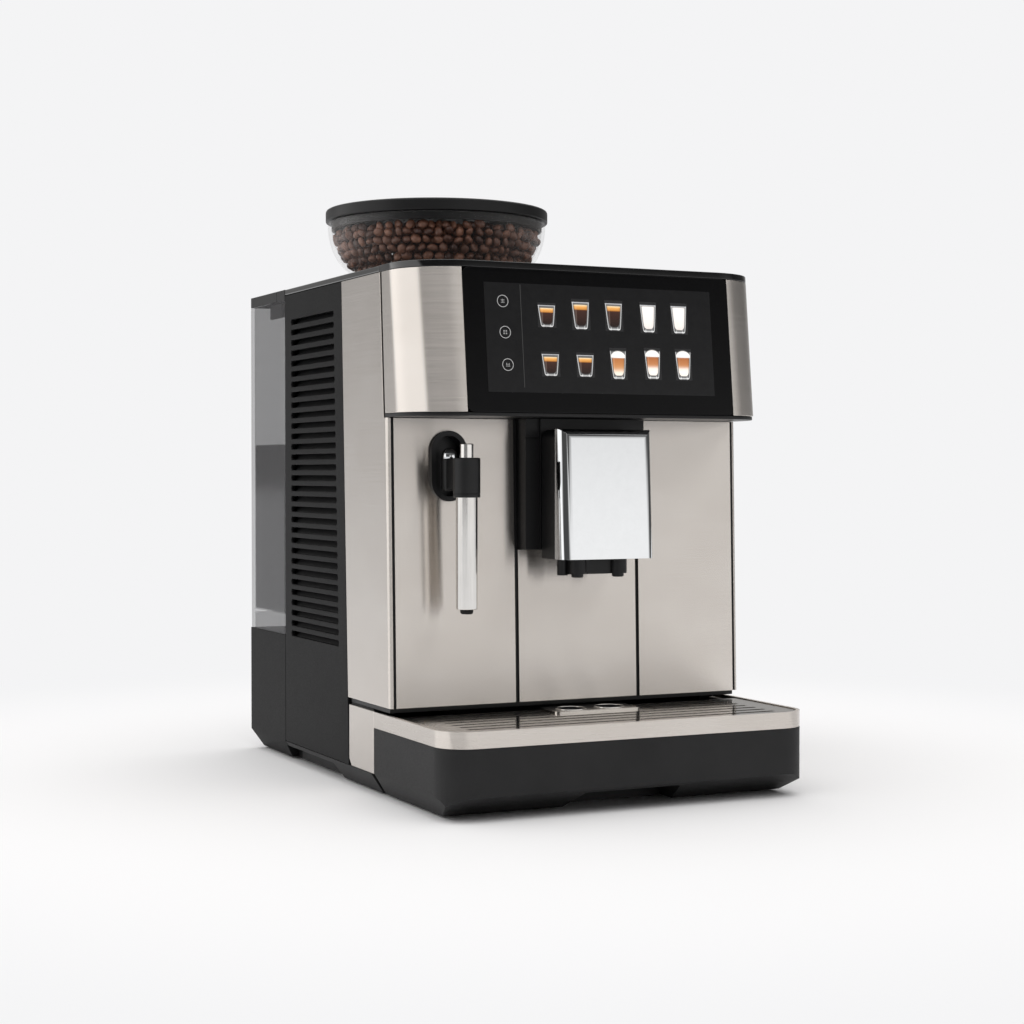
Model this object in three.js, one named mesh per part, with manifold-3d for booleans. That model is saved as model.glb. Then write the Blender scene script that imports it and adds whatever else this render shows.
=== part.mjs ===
// A countertop bean-to-cup coffee machine, as a scene graph of separate named pieces.
// Millimetres. X runs across, -Y is the front, +Z is up.
// The origin is the middle of the footprint, on the floor.
import * as THREE from "three";
import { mergeVertices } from "three/addons/utils/BufferGeometryUtils.js";
import Module from "manifold-3d";

const wasm = await Module();
wasm.setup();

// ---- Overall sizes ----
const width = 330; // across the casing and the drip tray
const depth = 477; // front of the drip tray to the back of the water tank
const casingHeight = 437; // floor to the top of the casing, without the hopper
const gap = 0.3; // left between pieces that touch
const sheet = 2; // steel sheet of the fronts
const wall = 3; // moulded walls

// ---- Plinth and side walls ----
const footHeight = 4.2;
const footRadius = 11;
const footInset = 28; // foot centre from the plinth's edges
const plinthBottom = 1.5;
const plinthTop = 18.6;
const plinthInset = 11; // the plinth draws in this much at the floor
const plinthCheek = 25; // thickness of the plinth's side walls
const handholdLength = 131; // lifting notch along each side of the plinth
const handholdHeight = 14;
const handholdDepth = 16;
const sideWall = 4; // louvred side panel
const slotPitch = 9.51;
const slotHeight = 5;
const slotFrontMargin = 20;
const slotRearMargin = 17;
const slotTopMargin = 25.7;
const slotBottomMargin = 101.4;

// ---- Front panels, their lean and the side seams ----
const trayReach = 114.4; // the tray stands this far ahead of the panels' foot
const panelBottom = 76.4;
const panelLean = 0.0264; // backward slope of the front panels
const seamLean = 0.0413; // slope of the seam between side panel and steel strip
const stripDepth = 94.1; // steel that wraps round onto each side
const panelCorner = 4;
const cornerBead = 3.4; // steel outside the upright groove by each front corner
const grooveWidth = 2.2;
const grooveDepth = 1.2;
const panelGap = 3; // open joint between two front panels
const columnX = 7; // middle of the outlet column
const columnHalf = 57.3; // half the distance between the two front joints
const cheekFront = 36.5; // front end of the plinth, behind the panels' foot
const lowerTrimHeight = 52;
const deckThickness = 3.8;

// ---- Head with the touch screen ----
const headHeight = 115.4;
const headReach = 60.4; // the head's foot stands this far ahead of the panels' foot
const headLean = 0.1089;
const headCorner = 52; // plan radius of the head's steel corners
const headSeam = 13.9; // head's rear edge behind the panels' foot
const headSeamLean = 0.067;
const headGroove = 3.7; // open joint between the head's steel corner and the steel behind it
const headTrim = 2.8; // black plate under the head
const lidThickness = 5.3;
const cornerWidth = 42.8; // steel beside the screen
const glassThickness = 4;
const screenCorner = 5;
const displayMargin = 16;
const displayThickness = 5;
const boardThickness = 3;

// ---- Outlet column and spout ----
const housingHeight = 108.6;
const housingReach = 14.8; // housing's front ahead of the panel there
const housingStep = 3.3; // raised middle of the housing
const housingWall = 6.8;
const spoutHalf = 43.6;
const spoutTop = 9.4; // gap from the head's black plate to the top of the spout
const spoutHeight = 106.5;
const spoutBackGap = 2.2;
const spoutDepth = 24;
const spoutCoverDepth = 10;
const spoutCorner = 10;
const spoutLean = 0.045; // the cover's front reaches further out at its lower edge
const carriageDrop = 9.6; // carriage below the spout's top, so that its slot stays hidden
const carriageHeight = 27;
const carriageHalf = 13;
const carriageFlange = 6;
const travelUp = 8;
const travelDown = 60;
const nozzleSpacing = 38;
const nozzleRadius = 7.5;
const nozzleTipRadius = 5;
const nozzleDrop = 15.7; // nozzle tips below the spout's lower edge
const milkRadius = 4.6;

// ---- Steam wand ----
const wandX = -111.6; // middle of the oval escutcheon
const ovalRadius = 16;
const ovalTop = 10.6; // gap from the head's black plate to the top of the oval
const ovalHeight = 58;
const ovalRim = 4;
const ovalProud = 3;
const recessDepth = 10;
const barrelRadius = 6.5;
const barrelHeight = 26;
const barrelTop = 34; // barrel's top below the head's black plate
const barrelReach = 6.5; // barrel's axis ahead of the panel
const armReach = 31; // wand's axis ahead of the barrel's axis
const armShift = 1.8; // and this far to the right of it
const gripRadius = 11;
const gripHeight = 32;
const stubHeight = 11;
const stubRadius = 5.4;
const tubeRadius = 8.75;
const tubeLength = 90;
const tipRadius = 5.3;
const tipHeight = 3.5;

// ---- Drip tray, grate and grounds bin ----
const trayTop = 70.5;
const trimHeight = 13.2;
const trayCorner = 26;
const trayFrontChamfer = 33;
const trayFloor = 6;
const trayRear = 36.5; // rear of the tray's sides, behind the panels' foot
const binHalf = 97;
const binRear = 82; // bin's rear, behind the panels' foot
const binHeight = 56;
const notchHalf = 50;
const notchHeight = 16.4;
const notchDepth = 50;
const notchSlope = 7;
const trimLedge = 5;
const grateThickness = 2.3;
const grateSlots = 7;
const grateSlotPitch = 14.3;
const grateSlotWidth = 4.6;
const grateSlotHalf = 140;
const grateFrontMargin = 18.5;
const plateauHalf = 40;
const plateauHeight = 1.7;
const drainSpacing = 36;
const drainRadius = 12.5;
const drainFromPanel = 20; // drain holes ahead of the panels' foot
const floatRadius = 9;

// ---- Rear: water tank and service housing ----
const rearDepth = 102.7;
const rearBaseTop = 117.4;
const tankWidth = 185;
const tankLidHeight = 9.3;
const tankFloor = 18;
const tankBridge = 22; // fixed front of the tank's top, under the bowl, so that the lid opens clear of it
const tankCorner = 3;
const valveRadius = 12;
const valveStem = 6;
const wellClearance = 9; // room round the stem, because the tank leaves upwards and backwards
const inletX = 110;
const rockerX = 66;
const inletZ = 62;

// ---- Hopper and grinder ----
const hopperX = -46.6;
const hopperFromTank = 81; // hopper axis ahead of the tank's front
const bowlRadius = 99;
const bowlDepth = 65.4; // vertical half axis of the bowl's elliptical flank
const bowlEquator = 53; // the widest place, above the casing
const bowlRim = 57.4;
const bowlSeat = 6; // lowest visible place of the bowl, above the casing
const neckRadius = 52;
const neckDepth = 17;
const throatRadius = 28;
const collarWidth = 20; // rim of the top cover around the hopper's neck
const collarHeight = 3.6;
const hopperLidHeight = 10.7;
const hopperLidOverhang = 2; // the lid stands past the bowl's widest place
const hopperLidSkirt = 7;
const grinderWall = 14.5; // grinder's housing around its burrs
const grinderHeight = 84;
const burrRadius = 35.5;
const shaftRadius = 7.9;
const motorRadius = 35;
const motorHeight = 99;

// ---- Brewing parts ----
const brewHalf = 37;
const brewDepth = 70;
const brewHeight = 140;
const brewBore = 23;
const boilerRadius = 34;
const boilerHeight = 96;
const pumpRadius = 24;
const pumpLength = 92;
const supplyHeight = 110;

// ---- Places worked out from the sizes above ----
const halfWidth = width / 2;
const frontY = -depth / 2;
const backY = depth / 2;
const panelFootY = frontY + trayReach;
const headFootY = panelFootY - headReach;
const tankFrontY = backY - rearDepth;
const sideRearY = tankFrontY - gap;
const panelTop = casingHeight - lidThickness - gap;
const headBottom = panelTop - headHeight;
const headPlateBottom = headBottom - gap - headTrim;
const frontTop = headPlateBottom - gap;
const hopperY = tankFrontY - hopperFromTank;
const collarRadius = neckRadius + collarWidth;
const hopperLidRadius = bowlRadius + hopperLidOverhang;
const grinderRadius = burrRadius + grinderWall;
const deckTop = panelBottom - gap;
const bulkheadY = sideRearY - 4.2;

const panelY = (z) => panelFootY + panelLean * (z - panelBottom);
const seamY = (z) => panelFootY + stripDepth + seamLean * (z - plinthTop);
const headSeamY = (z) => panelFootY + headSeam + headSeamLean * (z - headBottom);

// ---- Finishes ----
const finish = (color, roughness, metalness) =>
  new THREE.MeshStandardMaterial({ color, roughness, metalness });
const brushedSteel = finish(0xbab3ac, 0.35, 1);
const polishedSteel = finish(0xd6d3cf, 0.15, 1);
const chrome = finish(0xe6e6e6, 0.05, 1);
const blackPlastic = finish(0x2d2d2e, 0.55, 0);
const glossBlack = finish(0x0c0c0d, 0.12, 0);
const screenBlack = finish(0x0d0d0e, 0.05, 0);
const rubber = finish(0x191919, 0.9, 0);
const smokedPlastic = finish(0x6e6c70, 0.1, 0);
smokedPlastic.transparent = true;
smokedPlastic.opacity = 0.45;
const clearPlastic = finish(0xeeeae6, 0.05, 0);
clearPlastic.transparent = true;
clearPlastic.opacity = 0.25;
const galvanised = finish(0x9a9c9d, 0.45, 1);
const brass = finish(0xb08d4c, 0.35, 1);
const boardGreen = finish(0x1f5a3a, 0.6, 0);
const greyPlastic = finish(0x6b6d70, 0.6, 0);

// ---- Solids ----

// A closed geometry as a solid: vertices shared, collapsed triangles dropped.
function solid(geometry) {
  const loose = geometry.index ? geometry.toNonIndexed() : geometry;
  const bare = new THREE.BufferGeometry().setAttribute("position", loose.getAttribute("position"));
  const merged = mergeVertices(bare, 1e-4);
  const kept = [];
  for (let i = 0; i < merged.index.count; i += 3) {
    const [a, b, c] = merged.index.array.slice(i, i + 3);
    if (a !== b && b !== c && a !== c) kept.push(a, b, c);
  }
  const vertProperties = merged.getAttribute("position").array;
  return new wasm.Manifold(new wasm.Mesh({ numProp: 3, vertProperties, triVerts: new Uint32Array(kept) }));
}

// Corners are [u, v] or [u, v, radius]; a radius turns the corner into an arc.
function outline(corners, steps = 5) {
  const points = [];
  corners.forEach(([u, v, radius = 0], i) => {
    const corner = new THREE.Vector2(u, v);
    if (radius === 0) {
      points.push(corner);
      return;
    }
    const before = corners.at(i - 1);
    const after = corners[(i + 1) % corners.length];
    const toBefore = new THREE.Vector2(before[0], before[1]).sub(corner).normalize();
    const toAfter = new THREE.Vector2(after[0], after[1]).sub(corner).normalize();
    const half = Math.acos(THREE.MathUtils.clamp(toBefore.dot(toAfter), -1, 1)) / 2;
    const centre = toBefore.clone().add(toAfter).normalize();
    centre.multiplyScalar(radius / Math.sin(half)).add(corner);
    const start = toBefore.multiplyScalar(radius / Math.tan(half)).add(corner).sub(centre);
    const end = toAfter.multiplyScalar(radius / Math.tan(half)).add(corner).sub(centre);
    const turn = Math.atan2(start.x * end.y - start.y * end.x, start.dot(end));
    for (let k = 0; k <= steps; k += 1) {
      const point = start.clone().rotateAround(new THREE.Vector2(), (turn * k) / steps);
      points.push(point.add(centre));
    }
  });
  return points;
}

// Turns an extrusion so that it runs along X (outline in Y, Z), Y (outline in X, Z) or Z (outline in X, Y).
const along = {
  x: new THREE.Matrix4().makeBasis(
    new THREE.Vector3(0, 1, 0),
    new THREE.Vector3(0, 0, 1),
    new THREE.Vector3(1, 0, 0),
  ),
  y: new THREE.Matrix4().makeBasis(
    new THREE.Vector3(1, 0, 0),
    new THREE.Vector3(0, 0, 1),
    new THREE.Vector3(0, -1, 0),
  ),
  z: new THREE.Matrix4(),
};

// The shear that leans a shape back: Y grows by slope for each millimetre above level.
const lean = (slope, level) =>
  new THREE.Matrix4().makeShear(0, 0, 0, 0, 0, slope).setPosition(0, -slope * level, 0);

function prism(axis, corners, from, to, { holes = [], leaning, steps } = {}) {
  const shape = new THREE.Shape(outline(corners, steps));
  holes.forEach((hole) => shape.holes.push(new THREE.Path(outline(hole, steps))));
  const geometry = new THREE.ExtrudeGeometry(shape, { depth: Math.abs(to - from), bevelEnabled: false });
  const start = axis === "y" ? -Math.max(from, to) : Math.min(from, to);
  geometry.translate(0, 0, start).applyMatrix4(along[axis]);
  if (leaning) geometry.applyMatrix4(leaning);
  return solid(geometry);
}

function block([x0, y0, z0], [x1, y1, z1]) {
  const geometry = new THREE.BoxGeometry(Math.abs(x1 - x0), Math.abs(y1 - y0), Math.abs(z1 - z0));
  return solid(geometry.translate((x0 + x1) / 2, (y0 + y1) / 2, (z0 + z1) / 2));
}

const rectangle = (u0, v0, u1, v1, radius = 0) => [
  [u0, v0, radius],
  [u1, v0, radius],
  [u1, v1, radius],
  [u0, v1, radius],
];

// An upright oval with round ends, in X and Z.
const oval = (x, bottom, top, radius) => rectangle(x - radius, bottom, x + radius, top, radius - 0.01);

// A profile of [radius, height] points turned about an upright axis at x, y.
function turned(profile, steps = 24, [x, y] = [0, 0]) {
  const points = profile.map(([r, z]) => new THREE.Vector2(r, z));
  const onAxis = profile[0][0] === 0 && profile.at(-1)[0] === 0;
  if (THREE.ShapeUtils.area(points) < 0) points.reverse();
  if (!onAxis) points.push(points[0].clone());
  return solid(new THREE.LatheGeometry(points, steps).rotateX(Math.PI / 2).translate(x, y, 0));
}

// A round bar between two points.
function bar(from, to, radius, steps = 16) {
  const start = new THREE.Vector3(...from);
  const run = new THREE.Vector3(...to).sub(start);
  const geometry = new THREE.CylinderGeometry(radius, radius, run.length(), steps);
  const turn = new THREE.Quaternion().setFromUnitVectors(new THREE.Vector3(0, 1, 0), run.clone().normalize());
  const middle = start.addScaledVector(run, 0.5);
  return solid(geometry.applyQuaternion(turn).translate(middle.x, middle.y, middle.z));
}

const join = (...forms) => forms.reduce((all, form) => all.add(form));
const cut = (form, ...tools) => tools.reduce((left, tool) => left.subtract(tool), form);
const common = (...forms) => forms.reduce((left, form) => left.intersect(form));

function piece(name, form, material) {
  const { vertProperties, triVerts } = form.getMesh();
  const geometry = new THREE.BufferGeometry();
  geometry.setAttribute("position", new THREE.BufferAttribute(vertProperties, 3));
  geometry.setIndex(new THREE.BufferAttribute(triVerts, 1));
  geometry.computeVertexNormals();
  const mesh = new THREE.Mesh(geometry, material);
  mesh.name = name;
  return mesh;
}

const machine = new THREE.Group();
const sides = [
  ["left", -1],
  ["right", 1],
];

// ---- Plinth, feet and inner frame ----

// The plinth's section: upright above, drawn in towards the floor.
const plinthSection = (top) => [
  [-halfWidth + plinthInset, plinthBottom],
  [halfWidth - plinthInset, plinthBottom],
  [halfWidth, plinthTop],
  [halfWidth, top],
  [-halfWidth, top],
  [-halfWidth, plinthTop],
];

// The lifting notch along one side, with sloping ends, which runs on under the tank.
function handhold(side) {
  const rear = tankFrontY + 11.5;
  const front = rear - handholdLength;
  const corners = [
    [front - 7, plinthBottom - 1],
    [rear, plinthBottom - 1],
    [rear - 7, handholdHeight],
    [front, handholdHeight],
  ];
  return prism("x", corners, side * (halfWidth - handholdDepth), side * (halfWidth + 5));
}

const footPlaces = [
  ["front_left", -1, panelFootY + cheekFront + footInset - 8],
  ["front_right", 1, panelFootY + cheekFront + footInset - 8],
  ["rear_left", -1, backY - footInset],
  ["rear_right", 1, backY - footInset],
];
const footX = halfWidth - plinthInset - footInset;
const footRecess = (side, y) =>
  turned(
    [
      [0, -1],
      [footRadius + gap, -1],
      [footRadius + gap, footHeight + gap],
      [0, footHeight + gap],
    ],
    20,
    [side * footX, y],
  );

function chassisBase() {
  const front = panelFootY + cheekFront + 6;
  const inner = halfWidth - plinthCheek;
  const plate = prism("y", plinthSection(plinthTop), front, sideRearY);
  const pan = block([-inner, front - 1, trayFloor], [inner, sideRearY - 6, plinthTop + 1]);
  const cheekTop = deckTop - deckThickness - gap;
  const cheeks = sides.map(([, side]) =>
    block(
      [side * (halfWidth - sheet - gap), front, plinthTop - 1],
      [side * (halfWidth - 14), seamY(plinthTop) - gap, cheekTop],
    ),
  );
  const recesses = footPlaces.filter(([, , y]) => y < 0).map(([, side, y]) => footRecess(side, y));
  const notches = sides.map(([, side]) => handhold(side));
  return cut(join(plate, ...cheeks), pan, ...notches, ...recesses);
}

function foot() {
  return turned(
    [
      [0, 0],
      [footRadius - 1.5, 0],
      [footRadius, 1.5],
      [footRadius, footHeight],
      [0, footHeight],
    ],
    20,
  );
}

// A sheet floor over the drawer bay, open above the grounds bin.
function deckPlate() {
  const front = panelFootY + 6;
  const wide = halfWidth - sheet - gap;
  const narrow = halfWidth - sideWall - gap;
  const step = seamY(plinthTop) - gap;
  const rear = bulkheadY - gap;
  const corners = [
    [-wide, front],
    [wide, front],
    [wide, step],
    [narrow, step],
    [narrow, rear],
    [-narrow, rear],
    [-narrow, step],
    [-wide, step],
  ];
  const chute = rectangle(columnX - 30, panelFootY + 30, columnX + 30, panelFootY + 74, 6);
  return prism("z", corners, deckTop - deckThickness, deckTop, { holes: [chute] });
}

function rearBulkhead() {
  const half = halfWidth - sideWall - gap;
  const plate = block([-half, bulkheadY, plinthTop + gap], [half, sideRearY, panelTop]);
  const hoses = [-40, 0, 40].map((x) => bar([x, bulkheadY - 1, 200], [x, sideRearY + 1, 200], 9));
  return cut(plate, ...hoses);
}

// ---- Side panels with their louvre slots ----

function louvreSlots(side) {
  const top = panelTop - slotTopMargin;
  const bottom = plinthTop + slotBottomMargin;
  const count = Math.floor((top - bottom) / slotPitch + 1e-6) + 1;
  const rear = sideRearY - slotRearMargin;
  return Array.from({ length: count }, (_, i) => {
    const z = top - i * slotPitch;
    const front = seamY(z) + slotFrontMargin;
    const bevel = slotHeight / 3;
    const corners = [
      [front, z],
      [front + bevel, z - slotHeight / 2],
      [rear - bevel, z - slotHeight / 2],
      [rear, z],
      [rear - bevel, z + slotHeight / 2],
      [front + bevel, z + slotHeight / 2],
    ];
    return prism("x", corners, side * (halfWidth - sideWall - 1), side * (halfWidth + 1));
  });
}

function sidePanel(side) {
  const bottom = plinthTop + gap;
  const corners = [
    [seamY(bottom) + gap, bottom],
    [sideRearY, bottom],
    [sideRearY, panelTop],
    [seamY(panelTop) + gap, panelTop],
  ];
  const plate = prism("x", corners, side * (halfWidth - sideWall), side * halfWidth);
  return cut(plate, ...louvreSlots(side));
}

// ---- Steel fronts ----

// A front panel that wraps round its corner and runs up the side as far as the top cover.
function frontPanel(side, joint) {
  const inner = joint + (side * panelGap) / 2;
  const outer = side * halfWidth;
  const behind = side * (halfWidth - sheet);
  const far = seamY(panelTop) + 10;
  const plan = [
    [inner, panelFootY],
    [outer, panelFootY, panelCorner],
    [outer, far],
    [behind, far],
    [behind, panelFootY + sheet, panelCorner - sheet],
    [inner, panelFootY + sheet],
  ];
  const leaning = lean(panelLean, panelBottom);
  const wrapped = prism("z", plan, panelBottom, panelTop, { leaning });
  const bead = outer - side * cornerBead;
  const slot = rectangle(bead, panelFootY - 1, bead - side * grooveWidth, panelFootY + grooveDepth);
  const groove = prism("z", slot, panelBottom - 1, panelTop, { leaning });
  const ahead = frontY - 10;
  const silhouette = [
    [ahead, panelBottom],
    [seamY(panelBottom) - gap, panelBottom],
    [seamY(panelTop) - gap, panelTop],
    [headSeamY(panelTop) + gap, panelTop],
    [headSeamY(frontTop) + gap, frontTop],
    [ahead, frontTop],
  ];
  return common(cut(wrapped, groove), prism("x", silhouette, -halfWidth - 5, halfWidth + 5));
}

const ovalUpper = headPlateBottom - ovalTop;
const ovalLower = ovalUpper - ovalHeight;

function leftFrontPanel() {
  const hole = oval(wandX, ovalLower + 2, ovalUpper - 2, ovalRadius - 2);
  return cut(frontPanel(-1, columnX - columnHalf), prism("y", hole, panelFootY - 20, panelFootY + 40));
}

function centreFrontPanel() {
  const half = columnHalf - panelGap / 2;
  const top = frontTop - housingHeight - gap;
  const plate = rectangle(columnX - half, panelFootY, columnX + half, panelFootY + sheet);
  return prism("z", plate, panelBottom, top, { leaning: lean(panelLean, panelBottom) });
}

// The steel cover on each side of the plinth, with its lower rear corner cut off.
function lowerTrim(side) {
  const front = panelFootY + trayRear;
  const bottom = plinthTop + gap;
  const rear = seamY(bottom) - gap;
  const corners = [
    [front, bottom],
    [rear - 6, bottom],
    [rear, bottom + 6],
    [rear, bottom + lowerTrimHeight],
    [front, bottom + lowerTrimHeight],
  ];
  return prism("x", corners, side * (halfWidth - sheet), side * halfWidth);
}

// ---- Head ----

// The head's plan outline, drawn in by inset, with the rear edge at rear.
const headPlan = (inset, rear, front = headFootY + inset) => [
  [-halfWidth + inset, rear],
  [-halfWidth + inset, front, headCorner - inset],
  [halfWidth - inset, front, headCorner - inset],
  [halfWidth - inset, rear],
];
const headLeaning = lean(headLean, headBottom);

// Everything behind the head's rear seam, to trim leaning pieces to it.
function behindSeam(extra) {
  const low = headPlateBottom - 10;
  const high = casingHeight + 10;
  const corners = [
    [headSeamY(low) - extra, low],
    [headSeamY(low) + 300, low],
    [headSeamY(high) + 300, high],
    [headSeamY(high) - extra, high],
  ];
  return prism("x", corners, -halfWidth - 5, halfWidth + 5);
}

function headCornerPiece(side) {
  const far = headSeamY(panelTop) + 20;
  const outer = prism("z", headPlan(0, far), headBottom, panelTop, { leaning: headLeaning, steps: 10 });
  const inner = prism("z", headPlan(sheet, far + 5), headBottom - 5, panelTop + 5, {
    leaning: headLeaning,
    steps: 10,
  });
  const edge = halfWidth - cornerWidth + gap;
  const keep = block([side * edge, frontY, 0], [side * (halfWidth + 5), backY, casingHeight]);
  return cut(common(cut(outer, inner), keep), behindSeam(headGroove));
}

function headShell() {
  const far = headSeamY(panelTop) + 20;
  const inset = sheet + gap;
  const front = headFootY + glassThickness + displayThickness + 2 * gap;
  const outer = prism("z", headPlan(inset, far, front), headBottom, panelTop, { leaning: headLeaning });
  const inner = prism("z", headPlan(inset + wall, far + 5, front + wall), headBottom - 5, panelTop - wall, {
    leaning: headLeaning,
  });
  return cut(outer, inner, behindSeam(gap));
}

// A flat slab that lies against the head's leaning front, in X and Z.
function headSlab(half, bottom, top, radius, from, thickness) {
  const corners = rectangle(-half, bottom, half, top, radius);
  return prism("y", corners, headFootY + from, headFootY + from + thickness, { leaning: headLeaning });
}

const screenHalf = halfWidth - cornerWidth;

function screenGlass() {
  return headSlab(screenHalf, headBottom, panelTop, screenCorner, 0, glassThickness);
}

function displayPanel() {
  const bottom = headBottom + displayMargin - 3;
  const top = panelTop - displayMargin + 6;
  return headSlab(screenHalf - displayMargin, bottom, top, 2, glassThickness + gap, displayThickness - gap);
}

function controlBoard() {
  const from = glassThickness + displayThickness + wall + 3;
  const board = headSlab(90, headBottom + 25, panelTop - 25, 3, from, boardThickness);
  const chip = headSlab(18, headBottom + 50, panelTop - 40, 0, from + boardThickness - 0.5, 4);
  return join(board, chip);
}

function headPlate() {
  const far = headSeamY(headPlateBottom) - gap;
  return prism("z", headPlan(1, far), headPlateBottom, headPlateBottom + headTrim, { steps: 8 });
}

function headLid() {
  const top = panelTop + gap;
  const far = headSeamY(panelTop) + 20;
  const slab = prism("z", headPlan(0, far), top, casingHeight, { leaning: headLeaning, steps: 10 });
  return cut(slab, behindSeam(gap));
}

// ---- Top cover with the hopper's collar ----

function topCover() {
  const front = headSeamY(casingHeight) + gap;
  const plate = block([-halfWidth, front, panelTop + gap], [halfWidth, sideRearY, casingHeight]);
  const collar = turned(
    [
      [0, casingHeight - 1],
      [collarRadius, casingHeight - 1],
      [collarRadius - 2, casingHeight + collarHeight],
      [0, casingHeight + collarHeight],
    ],
    40,
    [hopperX, hopperY],
  );
  const below = [hopperX, hopperY, panelTop - 10];
  const above = [hopperX, hopperY, casingHeight + 10];
  const hole = bar(below, above, neckRadius + 1, 40);
  return cut(join(plate, collar), hole);
}

// ---- Outlet column ----

const housingTop = frontTop;
const housingBottom = frontTop - housingHeight;
const housingFrontY = panelY(housingBottom) - housingReach;
const housingFaceY = housingFrontY - housingStep;
const spoutTopZ = headPlateBottom - spoutTop;
const spoutBottomZ = spoutTopZ - spoutHeight;
const carriageTop = spoutTopZ - carriageDrop;

function spoutHousing() {
  const half = columnHalf - panelGap / 2;
  const rear = panelY(housingTop) + 10;
  const body = block([columnX - half, housingFrontY, housingBottom], [columnX + half, rear, housingTop]);
  const face = block(
    [columnX - spoutHalf, housingFaceY, housingBottom],
    [columnX + spoutHalf, rear, housingTop],
  );
  const seam = housingTop - 15;
  const groove = block(
    [columnX - half - 1, housingFrontY - 1, seam - 1.5],
    [columnX - spoutHalf, housingFrontY + 1.5, seam],
  );
  const hollow = block(
    [columnX - half + wall, housingFaceY + housingWall, housingBottom + wall],
    [columnX + half - wall, rear + 1, housingTop - wall],
  );
  const slotHalf = carriageHalf + 0.6;
  const slot = block(
    [columnX - slotHalf, housingFaceY - 1, carriageTop - carriageHeight - travelDown - 1],
    [columnX + slotHalf, housingFaceY + housingWall + 1, carriageTop + travelUp + 0.6],
  );
  // Backing plate behind the centre panel, which closes the open joints.
  const backingY = panelFootY + sheet + gap;
  const plan = rectangle(columnX - half - 8, backingY, columnX + half + 8, backingY + wall);
  const leaning = lean(panelLean, panelBottom);
  const backing = prism("z", plan, panelBottom, housingTop, { leaning });
  return cut(join(body, face, backing), hollow, slot, groove);
}

// ---- Spout: everything that slides up and down ----

const spoutBackY = housingFaceY - spoutBackGap;
const spoutCoverY = spoutBackY - spoutDepth;

function spoutCarriage() {
  const bottom = carriageTop - carriageHeight;
  const neck = block(
    [-carriageHalf, spoutBackY + gap, bottom],
    [carriageHalf, housingFaceY + housingWall + 1, carriageTop],
  );
  const flange = block(
    [-carriageHalf - carriageFlange, housingFaceY + housingWall + 0.6, bottom + 1],
    [carriageHalf + carriageFlange, housingFaceY + housingWall + 4, carriageTop - 1],
  );
  return join(neck, flange);
}

function spoutBody() {
  const outer = [
    [-spoutHalf, spoutBottomZ],
    [spoutHalf, spoutBottomZ],
    [spoutHalf, spoutTopZ, 8],
    [-spoutHalf, spoutTopZ, 8],
  ];
  const body = prism("y", outer, spoutBackY, spoutCoverY + gap);
  const hollow = block(
    [-spoutHalf + wall, spoutBackY - wall, spoutBottomZ - 1],
    [spoutHalf - wall, spoutCoverY - 1, spoutTopZ - wall - 4],
  );
  return cut(body, hollow);
}

// Chrome cover: flat front, rounded down both sides and along the top, hollow behind.
function spoutCover() {
  const form = (inset) => {
    const front = spoutCoverY - spoutCoverDepth + inset;
    const rear = spoutCoverY + spoutCoverDepth;
    const lowFront = front - spoutLean * spoutHeight;
    const leaning = lean(spoutLean, spoutTopZ);
    const plan = [
      [-spoutHalf + inset, rear],
      [-spoutHalf + inset, front, spoutCorner - inset],
      [spoutHalf - inset, front, spoutCorner - inset],
      [spoutHalf - inset, rear],
    ];
    const profile = [
      [spoutCoverY, spoutBottomZ - inset],
      [lowFront, spoutBottomZ - inset],
      [front, spoutTopZ - inset, spoutCorner - 2 - inset],
      [spoutCoverY, spoutTopZ - inset],
    ];
    return common(
      prism("z", plan, spoutBottomZ - 5, spoutTopZ, { steps: 8, leaning }),
      prism("x", profile, -spoutHalf - 5, spoutHalf + 5, { steps: 8 }),
    );
  };
  return cut(form(0), form(sheet));
}

const nozzleY = (spoutBackY + spoutCoverY) / 2 - 4.5;

// One moulding: a manifold block inside the spout with the two coffee nozzles.
function coffeeOutlet() {
  const half = nozzleSpacing / 2 + nozzleRadius;
  const low = spoutBottomZ - 13;
  const manifold = block([-half, nozzleY - 1, low], [half, nozzleY + 3.5, spoutBottomZ + 14]);
  const tipZ = spoutBottomZ - nozzleDrop;
  const nozzle = (x) =>
    turned(
      [
        [0, tipZ],
        [nozzleTipRadius - 0.8, tipZ],
        [nozzleTipRadius, tipZ + 0.8],
        [nozzleTipRadius, tipZ + 3.2],
        [nozzleRadius, tipZ + 3.2],
        [nozzleRadius, spoutBottomZ + 10],
        [0, spoutBottomZ + 10],
      ],
      16,
      [x, nozzleY],
    );
  const bore = (x) => bar([x, nozzleY, tipZ - 1], [x, nozzleY, spoutBottomZ + 20], 1.8, 10);
  const nozzles = [-nozzleSpacing / 2, nozzleSpacing / 2];
  return cut(join(manifold, ...nozzles.map(nozzle)), ...nozzles.map(bore));
}

function milkOutlet() {
  const x = -nozzleSpacing / 2 - nozzleRadius - 2;
  const y = nozzleY + 3.5 + gap + milkRadius;
  const top = spoutBottomZ + 14;
  const low = spoutBottomZ - 14;
  const tube = bar([x, y, low], [x, y, top], milkRadius, 16);
  return cut(tube, bar([x, y, low - 1], [x, y, top + 1], milkRadius - 1.6, 12));
}

// ---- Steam wand ----

const barrelY = panelY(ovalLower + ovalHeight / 2) - barrelReach;
const barrelTopZ = headPlateBottom - barrelTop;
const barrelBottomZ = barrelTopZ - barrelHeight;

function escutcheon() {
  const options = { leaning: lean(panelLean, panelBottom), steps: 8 };
  const form = (from, to, inset) => {
    const ring = oval(wandX, ovalLower + inset, ovalUpper - inset, ovalRadius - inset);
    return prism("y", ring, panelFootY + from, panelFootY + to, options);
  };
  const flange = form(-ovalProud - gap, -gap, 0);
  const cup = form(-gap - 0.5, recessDepth + 3, 2 + gap);
  return cut(join(flange, cup), form(-ovalProud - 2, recessDepth, ovalRim));
}

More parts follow.
